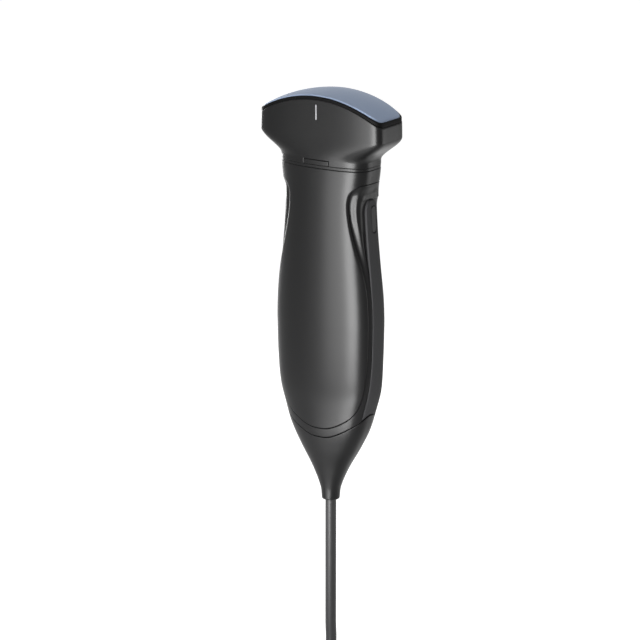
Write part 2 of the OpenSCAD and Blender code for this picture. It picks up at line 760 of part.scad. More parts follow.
module main_board() {
    color(board_green)
        difference() {
            translate([-board_w / 2, -board_t / 2, -board_end_drop])
                cube([board_w, board_t, board_l]);
            at_legs()
                translate([0, 0, -board_t / 2 - over])
                    cylinder(r = screw_r + hole_gap, h = board_t + 2 * over);
        }
}

chip_t = 1.2;
chip_pitch_share = 1.5;
module beamformer_chips() {
    color([0.1, 0.1, 0.11])
        for (row = [-1, 0, 1])
            translate([0, -board_t / 2 - chip_t / 2, -can_mid_drop + row * chip_w * chip_pitch_share])
                cube([chip_w, chip_t, chip_w], center = true);
}

can_wall = 0.3;
module shield_can() {
    color(steel)
        difference() {
            translate([-can_w / 2, board_t / 2, -can_mid_drop - can_l / 2])
                cube([can_w, can_t, can_l]);
            translate([-can_w / 2 + can_wall, board_t / 2 - over, -can_mid_drop - can_l / 2 + can_wall])
                cube([can_w - 2 * can_wall, can_t - can_wall + over, can_l - 2 * can_wall]);
        }
}

module heat_spreader() {
    top = board_t / 2 + can_t + spreader_t;
    color([0.8, 0.81, 0.82])
        difference() {
            union() {
                translate([-spreader_w / 2, board_t / 2 + can_t, -can_mid_drop - spreader_l / 2])
                    cube([spreader_w, spreader_t, spreader_l]);
                at_legs()
                    translate([0, 0, board_t / 2])
                        cylinder(r = post_r, h = can_t);
            }
            at_legs()
                cylinder(r = screw_r + screw_gap, h = top + over);
        }
}

head_r = 1.8;
head_t = 1.2;
module screw(l) {
    cylinder(r = screw_r, h = l);
    translate([0, 0, -head_t])
        cylinder(r = head_r, h = head_t);
}

module board_screws() {
    color(steel)
        at_legs()
            translate([0, 0, -board_t / 2])
                screw(board_t + can_t + spreader_t / 2);
}

// Socket for the cable's wires at the lower end of the board
header_w = 9;
header_h = 5;
header_t = 4.4;
header_edge = 4;
header_end_drop = board_end_drop - header_edge;
module cable_header() {
    color([0.9, 0.88, 0.82])
        translate([-header_w / 2, -board_t / 2 - header_t, -header_end_drop])
            cube([header_w, header_t, header_h]);
}

// Cable inside the boot, held by a clamp under the frame
core_r = cable_d / 2;
clamp_t = 6;
clamp_w = 21;
clamp_d = 9;
core_top_drop = clamp_top_drop - over;
wire_r = 1.3;
wire_shares = [0, 0.1, 0.3, 0.5, 0.62, 0.74, 0.86, 0.95, 1];
module cable_wires() {
    start_z = -header_end_drop;
    end_z = -core_top_drop;
    y0 = -board_t / 2 - header_t / 2 - wire_r / 2;
    y1 = -wire_y;
    path = [for (s = wire_shares)
        [0, s < 0.5 ? mix(y0, y1, ease(s * 2)) : mix(y1, 0, ease(s * 2 - 1)), mix(start_z, end_z, s)]];
    color([0.75, 0.2, 0.15])
        tube(path, wire_r, 8, [1, 0, 0], [0, 0, -1], [0, 0, -1]);
}

module cable_clamp() {
    color([0.3, 0.3, 0.32])
        difference() {
            translate([-clamp_w / 2, -clamp_d / 2, -clamp_top_drop - clamp_t])
                cube([clamp_w, clamp_d, clamp_t]);
            translate([0, 0, -clamp_top_drop - clamp_t - over])
                cylinder(r = core_r + screw_gap, h = clamp_t + 2 * over);
            for (side = [-1, 1])
                translate([side * post_x, 0, -clamp_top_drop - clamp_t - over])
                    cylinder(r = screw_r + hole_gap, h = clamp_t + 2 * over);
        }
}

module clamp_screws() {
    color(steel)
        for (side = [-1, 1])
            translate([side * post_x, 0, -clamp_top_drop - clamp_t])
                screw(clamp_t + clamp_top_drop - frame_end_drop - over);
}

ring_t = 1;
ring_h = 4;
module crimp_ring() {
    color(steel)
        translate([0, 0, -clamp_top_drop - clamp_t - fit_gap - ring_h])
            difference() {
                cylinder(r = core_r + screw_gap + ring_t, h = ring_h);
                translate([0, 0, -over])
                    cylinder(r = core_r + screw_gap, h = ring_h + 2 * over);
            }
}

module cable_core() {
    color(soft_grey)
        translate([0, 0, -handle_l])
            cylinder(r = core_r, h = handle_l - core_top_drop);
}

// Boot: a cone with rounded corners that ends as a small collar
boot_cols = 36;
boot_shares = [0, 0.1, 0.22, 0.34, 0.46, 0.58, 0.7, 0.8, 0.88, 0.94, 0.985, 1];
collar_edge = 0.6;
bore_gap = 0.12;
module cable_boot() {
    bore = core_r + bore_gap;
    place = function (s, phi) -mix(boot_drop(phi) + seam_gap, handle_l, s);
    last = boot_shares[len(boot_shares) - 1];
    angles = corner_angles(boot_cols);
    outer = [for (s = boot_shares) [for (phi = angles)
        body_point(place(s, phi), phi, s == last ? collar_edge : 0)]];
    inner = [for (s = boot_shares) [for (phi = angles)
        let (z = place(s, phi), a = max(bore, half_w(z) - wall), b = max(bore, half_d(z) - wall))
        outline_point(a, b, a == bore && b == bore ? 2 : square_of(z), phi, z)]];
    color(charcoal)
        skin(outer, inner, true, function (k, i) true);
}

// Cable from the boot down to the coil, bent once above the surface it lies on
drop_route = [[0, 0, -handle_l], [0, 0, -180], [0, 0, -196], [0, 0, -212], [0, 0, -226], [0, 0, -239],
    [-2.6, -2, -251.4], [-9.9, -7.4, -260.4], [-19.8, -14.8, -263.7], [-24, -18, -263.7]];
tail_steps = [[0, 0, 0], [0, 5, 0.1], [0, 10, 0.4], [0, 15, 0.5]];
drop_way = [-0.8, -0.6, 0];
drop_sides = 10;
module cable_drop() {
    color(soft_grey)
        tube(spline(drop_route, 2), core_r, drop_sides, [-0.6, 0.8, 0], [0, 0, -1], drop_way);
}

// Coil: two layers, in on the upper one and out on the lower one
coil_start = drop_route[len(drop_route) - 1];
coil_lead = 5.2;
coil_first = 90 + asin(-drop_way[1]);
coil_mid = coil_start + coil_lead * drop_way - coil_r * [cos(coil_first), sin(coil_first), 0];
coil_turns = 6 + (360 - coil_first) / 360;
coil_rings = 24;
// Turns between a place and the reversing one, rounded off where the spiral turns back
coil_round_share = 0.1;
function turns_away(u) = sqrt(u * u + coil_round_share * coil_round_share) - coil_round_share;
function coil_point(t) =
    let (u = t - coil_turns / 2, a = coil_first + 360 * t,
        r = coil_r - coil_pitch * (turns_away(coil_turns / 2) - turns_away(u)))
    coil_mid + [r * cos(a), r * sin(a), -coil_pitch * ease(2 * u + 0.5)];
coil_steps = round(coil_turns * coil_rings);
coil_end = coil_point(coil_turns) + [0, coil_lead, 0];
coil_path = concat([coil_start], [for (i = [0 : coil_steps]) coil_point(coil_turns * i / coil_steps)],
    [coil_end]);
coil_gap = min([for (i = [0 : coil_steps], j = [i + coil_rings / 2 : 1 : coil_steps])
    norm(coil_path[i] - coil_path[j])]) - cable_d;
echo(coil_least_gap_to_itself = coil_gap);
module cable_coil() {
    color(soft_grey)
        tube(coil_path, core_r, 6, [0, 0, 1], drop_way, [0, 1, 0]);
}

tail_route = [for (s = tail_steps) coil_end + s];
tail_end = tail_route[len(tail_route) - 1];
module cable_tail() {
    color(soft_grey)
        tube(spline(tail_route, 1), core_r, drop_sides, [0, 0, 1], [0, 1, 0], [0, 1, 0]);
}

// Solid along +Y from the end of the tail
module along_y(y, h) {
    translate(tail_end + [0, y, 0])
        rotate([-90, 0, 0])
            linear_extrude(height = h)
                children();
}

relief_wall = 0.6;
relief_r = core_r + relief_wall;
relief_ribs = 4;
rib_depth = 0.5;
module plug_relief() {
    step = relief_l / (2 * relief_ribs + 1);
    wide = plug_t / 2 - collar_edge / 3;
    profile = [for (i = [0 : 2 * relief_ribs])
        let (r = mix(relief_r, wide, i / (2 * relief_ribs)) - (i % 2) * rib_depth)
        each [[r, step * i], [r, step * (i + 1)]]];
    color(charcoal)
        translate(tail_end)
            rotate([-90, 0, 0])
                rotate_extrude()
                    polygon(concat([[0, 0]], profile, [[0, relief_l]]));
}

plug_corner = 1.8;
module rounded(w, t, r) {
    square([w - 2 * r, t], center = true);
    square([w, t - 2 * r], center = true);
    for (x = [-1, 1], y = [-1, 1])
        translate([x * (w / 2 - r), y * (t / 2 - r)])
            circle(r = r);
}

plug_nose = 1;
module plug_body() {
    color(charcoal) {
        along_y(relief_l, plug_l - plug_nose)
            rounded(plug_w, plug_t, plug_corner);
        along_y(relief_l + plug_l - plug_nose, plug_nose)
            rounded(plug_w - plug_nose, plug_t - plug_nose, plug_corner - plug_nose / 2);
    }
}

// Shell, insert and contacts of a standard reversible plug
shell_w = 8.3;
shell_t = 2.5;
shell_l = 6.65;
shell_wall = 0.25;
insert_gap = 0.02;
slot_w = 6.7;
slot_t = 0.8;
insert_back = 0.4;
insert_out = shell_wall + insert_gap;
module plug_shell() {
    color(steel)
        along_y(relief_l + plug_l, shell_l)
            difference() {
                rotate(90)
                    stadium(shell_t, shell_w);
                rotate(90)
                    stadium(shell_t - 2 * shell_wall, shell_w - 2 * shell_wall);
            }
}

module plug_insert() {
    color(black)
        along_y(relief_l + plug_l, shell_l - insert_back)
            difference() {
                rotate(90)
                    stadium(shell_t - 2 * insert_out, shell_w - 2 * insert_out);
                square([slot_w, slot_t], center = true);
            }
}

contact_w = 0.25;
contact_t = 0.12;
contact_pitch = 0.5;
contact_count = 12;
module plug_contacts() {
    color(gold)
        along_y(relief_l + plug_l, shell_l - 2 * insert_back)
            for (i = [0 : contact_count - 1], side = [-1, 1])
                translate([(i - (contact_count - 1) / 2) * contact_pitch, side * (slot_t - contact_t) / 2])
                    square([contact_w, contact_t], center = true);
}

acoustic_lens();
lens_gasket();
nose_housing();
centre_mark();
latch_tab();
matching_layer();
piezo_array();
backing_block();
array_carrier();
flex_front();
flex_rear();
neck_seal();
front_cover();
rear_cover();
grip_pad_right();
grip_pad_left();
scan_button();
key_switch();
switch_board();
inner_frame();
main_board();
flex_sockets();
beamformer_chips();
shield_can();
heat_spreader();
board_screws();
cable_header();
cable_wires();
cable_clamp();
clamp_screws();
crimp_ring();
cable_core();
cable_boot();
cable_drop();
cable_coil();
cable_tail();
plug_relief();
plug_body();
plug_shell();
plug_insert();
plug_contacts();
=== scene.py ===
"""Dressed scene of a wired bladder scanner probe.

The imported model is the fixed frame. Each sub-assembly is a class that holds its sizes, builds its meshes in
the same frame and dresses them. The probe's lengths are in millimetres and turn into metres where a mesh is
made. The studio's lengths are in metres. Angles are in degrees.
"""

import logging
import math
from dataclasses import dataclass, field
from enum import Enum
from typing import Callable, Dict, List, Optional, Sequence, Tuple, Union

import bmesh
import bpy
import numpy as np
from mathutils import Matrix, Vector
from mathutils.kdtree import KDTree


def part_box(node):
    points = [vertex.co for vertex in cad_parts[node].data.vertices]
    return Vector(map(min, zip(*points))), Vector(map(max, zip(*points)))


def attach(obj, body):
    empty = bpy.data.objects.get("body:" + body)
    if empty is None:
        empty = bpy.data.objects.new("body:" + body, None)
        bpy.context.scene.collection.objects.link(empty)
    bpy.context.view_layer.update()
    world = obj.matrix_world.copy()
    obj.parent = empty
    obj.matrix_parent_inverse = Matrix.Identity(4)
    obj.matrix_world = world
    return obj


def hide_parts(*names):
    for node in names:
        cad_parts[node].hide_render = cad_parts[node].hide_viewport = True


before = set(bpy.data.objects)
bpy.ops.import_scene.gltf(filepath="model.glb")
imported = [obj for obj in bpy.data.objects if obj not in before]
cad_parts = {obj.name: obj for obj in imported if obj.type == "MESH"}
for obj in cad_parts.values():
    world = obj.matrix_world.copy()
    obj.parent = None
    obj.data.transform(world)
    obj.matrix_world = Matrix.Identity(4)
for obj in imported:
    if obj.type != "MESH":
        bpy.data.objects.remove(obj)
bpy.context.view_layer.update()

LOG = logging.getLogger("probe")
MM = 0.001

# Gap at a seam, and distances from an edge of the rows and columns that round it
SEAM_GAP = 0.15
FINE = (0.05, 0.12, 0.2, 0.3, 0.45)
WIDE = (0.0, 0.06, 0.14, 0.25, 0.4, 0.6, 0.85, 1.15, 1.5, 1.9)

# Bend above which an edge stays sharp, and lengths in metres below which points and edges are merged
CREASE = 38.0
WELD = 2e-6
SLIVER = 1e-7

# Rounds in which an outline is solved, and spacing of the points that stand for a border line
OUTLINE_ROUNDS = 7
BORDER_STEP = 0.06

Array = np.ndarray
Values = Union[float, Array]
Feed = Union[float, Sequence[float], bpy.types.NodeSocket]
Feeds = Dict[Union[str, int], Feed]
Colour = Tuple[float, float, float]
Point = Tuple[float, float, float]
Rows = Tuple[Tuple[float, float], ...]
Mask = Callable[[int, int], bool]
Profile = Callable[[Array], Array]


class Side(Enum):
    """Side of the probe, seen from its front."""

    RIGHT = 1
    LEFT = -1


class Body(Enum):
    """Rigid bodies of the frame."""

    PROBE = "probe"
    KEY = "scan_button"


# Shape of the probe


def mix(a: Values, b: Values, t: Values) -> Values:
    """Straight blend from a to b."""
    return a + (b - a) * t


def ease(t: Values) -> Values:
    """Smooth blend factor that starts and ends level, held between 0 and 1."""
    c = np.clip(t, 0.0, 1.0)
    return c * c * (3 - 2 * c)


def curve(t: Values, rows: Sequence[Sequence[float]]) -> Values:
    """Smooth curve through rows of place and value.

    Args:
        t: Places to look up.
        rows: Pairs of place and value, in rising order of place.

    Returns:
        The value at each place, held at the ends.
    """
    x, y = np.array(rows, float).T
    last = len(x) - 1
    index = np.arange(last + 1)
    before, after = np.maximum(index - 1, 0), np.minimum(index + 1, last)
    slope = (y[after] - y[before]) / (x[after] - x[before])
    t = np.asarray(t, float)
    i = np.clip(np.searchsorted(x, t, side="right") - 1, 0, last - 1)
    h = x[i + 1] - x[i]
    u = np.clip((t - x[i]) / h, 0, 1)
    return (
        y[i] * (2 * u**3 - 3 * u**2 + 1)
        + slope[i] * h * (u**3 - 2 * u**2 + u)
        + y[i + 1] * (3 * u**2 - 2 * u**3)
        + slope[i + 1] * h * (u**3 - u**2)
    )


def spread(start: float, end: float, count: int, fine: Sequence[float] = ()) -> Array:
    """Places from start to end, with finer ones near both.

    Args:
        start: First place.
        end: Last place.
        count: Number of even steps between the finer places.
        fine: Distances from each end at which finer places lie.

    Returns:
        The places, both ends included.
    """
    sign = 1 if end >= start else -1
    near = [start + sign * d for d in fine]
    far = [end - sign * d for d in reversed(fine)]
    low = near[-1] if near else start
    high = far[0] if far else end
    middle = list(np.linspace(low, high, count + 1))
    return np.array(([start] + near[:-1] if near else []) + middle + (far[1:] + [end] if far else []))


def distinct(parts: Sequence[Array], digits: int = 4) -> Array:
    """Places of several lists in rising order, each once."""
    return np.unique(np.round(np.concatenate(parts), digits))


def between(count: int) -> Array:
    """Even shares between 0 and 1, without both ends."""
    return np.linspace(0, 1, count + 2)[1:-1]


def up_to_one(count: int) -> Array:
    """Even shares after 0, the last of them 1."""
    return np.linspace(0, 1, count + 1)[1:]


def corner_columns(count: int, pull: float = 8.0) -> Array:
    """Angles of columns round a plan, pulled by some degrees towards its corners."""
    even = np.linspace(0, 360, count, endpoint=False)
    return even + pull * np.sin(np.radians(4 * even))


def unit_outline(p: Values, q: Values, phi: Values) -> Tuple[Array, Array]:
    """Outline of a rounded plan within a unit square.

    Args:
        p: Exponent of the width.
        q: Exponent of the depth.
        phi: Angles, 0 at the right side and 90 at the front.

    Returns:
        Shares of the half width and of the half depth, the front towards -Y.
    """
    c, s = np.cos(np.radians(phi)), np.sin(np.radians(phi))
    u, v = np.abs(c) ** p, np.abs(s) ** q
    k = (u + v) ** (-2 / (p + q))
    for _ in range(OUTLINE_ROUNDS):
        fu, fv = u * k**p, v * k**q
        k = k - (fu + fv - 1) * k / (p * fu + q * fv)
    return c * k, -s * k


@dataclass(frozen=True)
class ProbeForm:
    """Outline of the probe along its axis.

    Widths, depths and seams are those of the solids. The exponents are the scene's own: they keep the width
    and the depth, and give the gently arched front that the reflections in the photograph show.
    """

    head_w: float = 67.6
    head_d: float = 24.4
    flare_start: float = 2.0
    flare_end: float = 13.5
    head_draft: float = 1.2
    crest_h: float = 33.2
    neck_w: float = 48.6
    neck_d: float = 25.2
    head_arch: Tuple[float, float] = (3.6, 9.0)
    neck_arch: Tuple[float, float] = (2.2, 3.7)
    grip_arch: Tuple[float, float] = (2.1, 3.3)
    round_arch: float = 2.0
    handle_l: float = 164.0
    waist_w: float = 45.9
    waist_drop: float = 13.5
    grip_w: float = 54.8
    grip_d: float = 26.8
    belly_drop: float = 76.0
    boot_end_d: float = 8.4
    panel_drop: float = 126.5
    sill_rise: float = 5.5
    sill_power: float = 2.4
    boot_front_drop: float = 131.0
    boot_side_drop: float = 119.0
    boot_wave_start: float = 4.0
    boot_wave_span: float = 80.0
    taper_shares: Rows = (
        (0, 1), (0.2, 0.98), (0.36, 0.93), (0.48, 0.81), (0.59, 0.68), (0.7, 0.475), (0.82, 0.215),
        (0.93, 0.035), (1, 0),
    )
    edge_shares: Rows = (
        (0.063, 33), (0.078, 41), (0.095, 45), (0.134, 48), (0.19, 47), (0.245, 44), (0.3, 40),
        (0.345, 36), (0.395, 32.5), (0.46, 29.5), (0.63, 28.8), (0.71, 29.3), (0.78, 30.8), (0.865, 34.2),
        (0.925, 40), (0.957, 50),
    )

    def _blend(self, z: Values, head: Profile, upper: Profile, lower: Profile, taper: Profile) -> Array:
        """Value of a property by the stretch of the probe that z lies in.

        Args:
            z: Heights.
            head: Value above the neck seam.
            upper: Value from the seam down to the waist.
            lower: Value from the waist down to the belly.
            taper: Value below the belly.

        Returns:
            The value at each height.
        """
        z = np.asarray(z, float)
        handle = np.where(-z < self.belly_drop, lower(z), taper(z))
        return np.where(z >= 0, head(z), np.where(-z < self.waist_drop, upper(z), handle))

    def _taper(self, z: Array) -> Array:
        """Share of the belly's size that is left at the height z."""
        return curve((-z - self.belly_drop) / (self.handle_l - self.belly_drop), self.taper_shares)

    def _flare(self, z: Array) -> Array:
        """Share of the flare that is reached at the height z."""
        return ease((z - self.flare_start) / (self.flare_end - self.flare_start))

    def half_w(self, z: Values) -> Array:
        """Half width of the probe.

        Args:
            z: Heights.

        Returns:
            The half width at each height.
        """
        above = (np.asarray(z, float) - self.flare_end) / (self.crest_h - self.flare_end)
        draft = self.head_draft * ease(above)
        swell = self.belly_drop - self.waist_drop
        return self._blend(
            z,
            lambda v: (mix(self.neck_w, self.head_w, self._flare(v)) - draft) / 2,
            lambda v: mix(self.neck_w, self.waist_w, ease(-v / self.waist_drop)) / 2,
            lambda v: mix(self.waist_w, self.grip_w, ease((-v - self.waist_drop) / swell)) / 2,
            lambda v: mix(self.boot_end_d, self.grip_w, self._taper(v)) / 2,
        )

    def half_d(self, z: Values) -> Array:
        """Half depth of the probe.

        Args:
            z: Heights.

        Returns:
            The half depth at each height.
        """

        def handle(v: Array) -> Array:
            """Half depth between the neck seam and the belly."""
            return mix(self.neck_d, self.grip_d, ease(-v / self.belly_drop)) / 2

        return self._blend(
            z,
            lambda v: mix(self.neck_d, self.head_d, self._flare(v)) / 2,
            handle,
            handle,
            lambda v: mix(self.boot_end_d, self.grip_d, self._taper(v)) / 2,
        )

    def arch(self, z: Values) -> Tuple[Array, Array]:
        """Exponents of the plan: a gently arched front with rounder corners.

        Args:
            z: Heights.

        Returns:
            The exponents of the width and of the depth at each height.
        """

        def exponent(i: int) -> Array:
            """One of the two exponents.

            Args:
                i: 0 for the width and 1 for the depth.

            Returns:
                The exponent at each height.
            """

            def handle(v: Array) -> Array:
                """Exponent between the neck seam and the belly."""
                return mix(self.neck_arch[i], self.grip_arch[i], ease(-v / self.belly_drop))

            return self._blend(
                z,
                lambda v: mix(self.neck_arch[i], self.head_arch[i], self._flare(v)),
                handle,
                handle,
                lambda v: mix(self.round_arch, self.grip_arch[i], np.sqrt(np.clip(self._taper(v), 0, 1))),
            )

        return exponent(0), exponent(1)

    def at(self, z: Values, phi: Values, inset: Values = 0.0, lift: Optional[Array] = None) -> Array:
        """Points of the outline.

        Args:
            z: Heights that set the outline's size.
            phi: Angles, 0 at the right side and 90 at the front.
            inset: Distance from the outline inwards.
            lift: Heights of the points, if they aren't z.

        Returns:
            Points with their coordinates along the last axis.
        """
        z, phi, inset = np.broadcast_arrays(np.asarray(z, float), phi, inset)
        across, deep = unit_outline(*self.arch(z), phi)
        a, b = self.half_w(z) - inset, self.half_d(z) - inset
        return np.stack([a * across, b * deep, z if lift is None else np.broadcast_to(lift, z.shape)], -1)

    def degrees(self, distance: Values, z: Values, phi: Values) -> Array:
        """Angle that a distance along the outline spans at z and phi."""
        step = self.at(z, np.asarray(phi) + 0.5) - self.at(z, np.asarray(phi) - 0.5)
        return distance / np.linalg.norm(step, axis=-1)

    def edge(self, z: Values) -> Array:
        """Angle of the front cover's side edge at the height z."""
        return curve(-np.asarray(z) / self.panel_drop, self.edge_shares)

    def sill(self, phi: Values) -> Array:
        """Drop of the front cover's lower edge."""
        share = np.abs(np.cos(np.radians(phi))) / math.cos(math.radians(self.edge_shares[-1][1]))
        return self.panel_drop - self.sill_rise * np.clip(share, 0, 1) ** self.sill_power

    def boot_top(self, phi: Values) -> Array:
        """Drop of the seam between the housings and the boot.

        Args:
            phi: Angles.

        Returns:
            The drop at each angle.
        """
        turn = np.degrees(np.arcsin(np.clip(np.abs(np.sin(np.radians(phi))), 0, 1)))
        share = ease((turn - self.boot_wave_start) / self.boot_wave_span)
        return mix(self.boot_side_drop, self.boot_front_drop, share)


FORM = ProbeForm()


# Meshes


def roll(distance: Values, radius: Values) -> Array:
    """Inset of a rounded edge at a distance from the border."""
    left = np.clip(radius - distance, 0, radius)
    return radius - np.sqrt(np.maximum(radius**2 - left**2, 0))


def quarter_round(radius: float, steps: int) -> List[Tuple[float, float]]:
    """Inset and drop of the steps of a rounded edge, from its side to its face."""
    turns = [math.radians(90 * step / steps) for step in range(1, steps + 1)]
    return [(radius * (1 - math.cos(t)), radius * (1 - math.sin(t))) for t in turns]


def border_distance(points: Array, borders: Sequence[Array]) -> Array:
    """Distance of each point from the nearest border line.

    Args:
        points: Points along the last axis.
        borders: Lines as arrays of points, in order.

    Returns:
        Distances in the points' own unit.
    """
    dense: List[Array] = []
    for line in borders:
        for a, b in zip(line[:-1], line[1:]):
            steps = max(1, int(np.linalg.norm(b - a) / BORDER_STEP))
            dense.append(a + (b - a) * np.linspace(0, 1, steps, endpoint=False)[:, None])
        dense.append(line[-1:])
    cloud = np.concatenate(dense)
    tree = KDTree(len(cloud))
    for index, point in enumerate(cloud):
        tree.insert(point, index)
    tree.balance()
    flat = points.reshape(-1, 3)
    return np.array([tree.find(p)[2] for p in flat]).reshape(points.shape[:-1])


@dataclass
class Shape:
    """Mesh under construction, in millimetres."""

    points: List[Array] = field(default_factory=list)
    faces: List[Tuple[int, ...]] = field(default_factory=list)
    size: int = 0

    def add(self, points: Array, faces: Sequence[Sequence[int]]) -> None:
        """Adds points and the faces between them.

        Args:
            points: New points.
            faces: Faces that count from the first new point.
        """
        flat = np.asarray(points, float).reshape(-1, 3)
        self.points.append(flat)
        self.faces.extend(tuple(i + self.size for i in f) for f in faces)
        self.size += len(flat)

    def skin(self, outer: Array, inner: Array, wrap: bool, keep: Optional[Mask] = None) -> None:
        """Adds a closed skin between two grids of points, rows from the top down.

        Args:
            outer: Outer grid, rows by columns by three.
            inner: Inner grid of the same size.
            wrap: Whether the last column joins the first one.
            keep: Tells whether the cell at a row and column exists.
        """
        rows, cols = outer.shape[:2]
        last = cols if wrap else cols - 1
        size = rows * cols
        cell = np.ones((rows - 1, last), bool)
        if keep is not None:
            for k in range(rows - 1):
                for i in range(last):
                    cell[k, i] = keep(k, i)

        def has(k: int, i: int) -> bool:
            """Tells whether the neighbouring cell exists.

            Args:
                k: Row of the cell.
                i: Column of the cell.

            Returns:
                Whether it lies in the grid and is kept.
            """
            if k < 0 or k > rows - 2 or (not wrap and (i < 0 or i >= last)):
                return False
            return bool(cell[k, i % last])

        faces: List[Tuple[int, ...]] = []
        for k, i in zip(*np.nonzero(cell)):
            j = (i + 1) % cols
            a, b, c, d = k * cols + i, k * cols + j, (k + 1) * cols + j, (k + 1) * cols + i
            faces.append((b, a, d, c))
            faces.append((c + size, d + size, a + size, b + size))
            if not has(k - 1, i):
                faces.append((b + size, a + size, a, b))
            if not has(k + 1, i):
                faces.append((c, d, d + size, c + size))
            if not has(k, i - 1):
                faces.append((a, a + size, d + size, d))
            if not has(k, i + 1):
                faces.append((c, c + size, b + size, b))
        self.add(np.concatenate([outer.reshape(-1, 3), inner.reshape(-1, 3)]), faces)

    def rings(self, stack: Sequence[Array], close_first: bool = True, close_last: bool = True) -> None:
        """Adds a closed surface through rings of points, each running the same way.

        Args:
            stack: Rings of equal length.
            close_first: Whether the first ring is capped.
            close_last: Whether the last ring is capped.
        """
        count = len(stack[0])
        faces: List[Tuple[int, ...]] = []
        for k in range(len(stack) - 1):
            for i in range(count):
                j = (i + 1) % count
                faces.append((k * count + i, k * count + j, (k + 1) * count + j, (k + 1) * count + i))
        if close_first:
            faces.append(tuple(range(count - 1, -1, -1)))
        if close_last:
            start = (len(stack) - 1) * count
            faces.append(tuple(range(start, start + count)))
        self.add(np.concatenate(stack), faces)

    def build(self, name: str) -> bpy.types.Object:
        """Turns the shape into an object in metres.

        Args:
            name: Name of the new object.

        Returns:
            The new object, linked to the scene.
        """
        mesh = bpy.data.meshes.new(name)
        mesh.from_pydata((np.concatenate(self.points) * MM).tolist(), [], self.faces)
        work = bmesh.new()
        work.from_mesh(mesh)
        bmesh.ops.remove_doubles(work, verts=work.verts[:], dist=WELD)
        bmesh.ops.dissolve_degenerate(work, edges=work.edges[:], dist=SLIVER)
        bmesh.ops.recalc_face_normals(work, faces=work.faces[:])
        finish_edges(work)
        work.to_mesh(mesh)
        work.free()
        piece = bpy.data.objects.new(name, mesh)
        bpy.context.scene.collection.objects.link(piece)
        return piece


def finish_edges(work: bmesh.types.BMesh) -> None:
    """Smooths all faces and keeps the edges sharp that bend much.

    Args:
        work: Mesh that is changed.
    """
    for face in work.faces:
        face.smooth = True
    for edge in work.edges:
        edge.smooth = len(edge.link_faces) == 2 and edge.calc_face_angle(0.0) < math.radians(CREASE)


def tube_rings(path: Array, radius: float, sides: int) -> List[Array]:
    """Rings of a tube along a path, without twist.

    Args:
        path: Centre points.
        radius: Radius of the tube.
        sides: Points in one ring.

    Returns:
        One ring for each centre point.
    """
    off_path = (0.3, 0.9, 0.1)
    ways = np.gradient(path, axis=0)
    ways /= np.linalg.norm(ways, axis=1)[:, None]
    side = np.cross(ways[0], off_path)
    side /= np.linalg.norm(side)
    rings = []
    turn = np.linspace(0, 2 * math.pi, sides, endpoint=False)[:, None]
    for point, way in zip(path, ways):
        side = side - way * np.dot(side, way)
        side /= np.linalg.norm(side)
        other = np.cross(way, side)
        rings.append(point + radius * (np.cos(turn) * side + np.sin(turn) * other))
    return rings


# Finishes


def tint(colour: Colour, share: float = 1.0) -> Tuple[float, float, float, float]:
    """Opaque colour, made lighter or darker by a share."""
    return (*(min(1.0, c * share) for c in colour), 1.0)


class Nodes:
    """Small helper that adds and joins shader nodes."""

    def __init__(self, tree: bpy.types.NodeTree) -> None:
        """Keeps the tree that the nodes go into."""
        self.tree = tree

    @classmethod
    def fresh(cls, owner: Union[bpy.types.Material, bpy.types.World]) -> "Nodes":
        """Turns on the nodes of a material or a world and clears them.

        Args:
            owner: The material or world.

        Returns:
            Its nodes.
        """
        owner.use_nodes = True
        owner.node_tree.nodes.clear()
        return cls(owner.node_tree)

    def add(self, kind: str, feeds: Optional[Feeds] = None, **values: object) -> bpy.types.Node:
        """Adds a node, sets its properties and feeds its inputs.

        Args:
            kind: Node type's name.
            feeds: Constant or socket for each input, by the input's name or number.
            values: Properties of the node.

        Returns:
            The new node.
        """
        made = self.tree.nodes.new(kind)
        for key, value in values.items():
            setattr(made, key, value)
        for key, value in (feeds or {}).items():
            if isinstance(value, bpy.types.NodeSocket):
                self.tree.links.new(value, made.inputs[key])
            else:
                made.inputs[key].default_value = value
        return made

    def noise(self, place: Feed, scale: Feed, detail: float, rough: float) -> bpy.types.NodeSocket:
        """Adds a noise pattern and gives its value."""
        feeds = {"Vector": place, "Scale": scale, "Detail": detail, "Roughness": rough}
        return self.add("ShaderNodeTexNoise", feeds).outputs["Fac"]

    def span(self, value: Feed, low: Feed, high: Feed) -> bpy.types.NodeSocket:
        """Maps a value between 0 and 1 to the span from low to high, each a number or a socket."""
        feeds = {"Value": value, "To Min": low, "To Max": high}
        return self.add("ShaderNodeMapRange", feeds).outputs["Result"]

    def maths(self, operation: str, *feeds: Feed) -> bpy.types.NodeSocket:
        """Adds a calculation with numbers and sockets and gives its result."""
        return self.add("ShaderNodeMath", dict(enumerate(feeds)), operation=operation).outputs[0]

    def blend(self, share: Feed, first: Feed, second: Feed) -> bpy.types.NodeSocket:
        """Adds a blend of two colours and gives its result."""
        return self.add("ShaderNodeMix", {0: share, 6: first, 7: second}, data_type="RGBA").outputs[2]


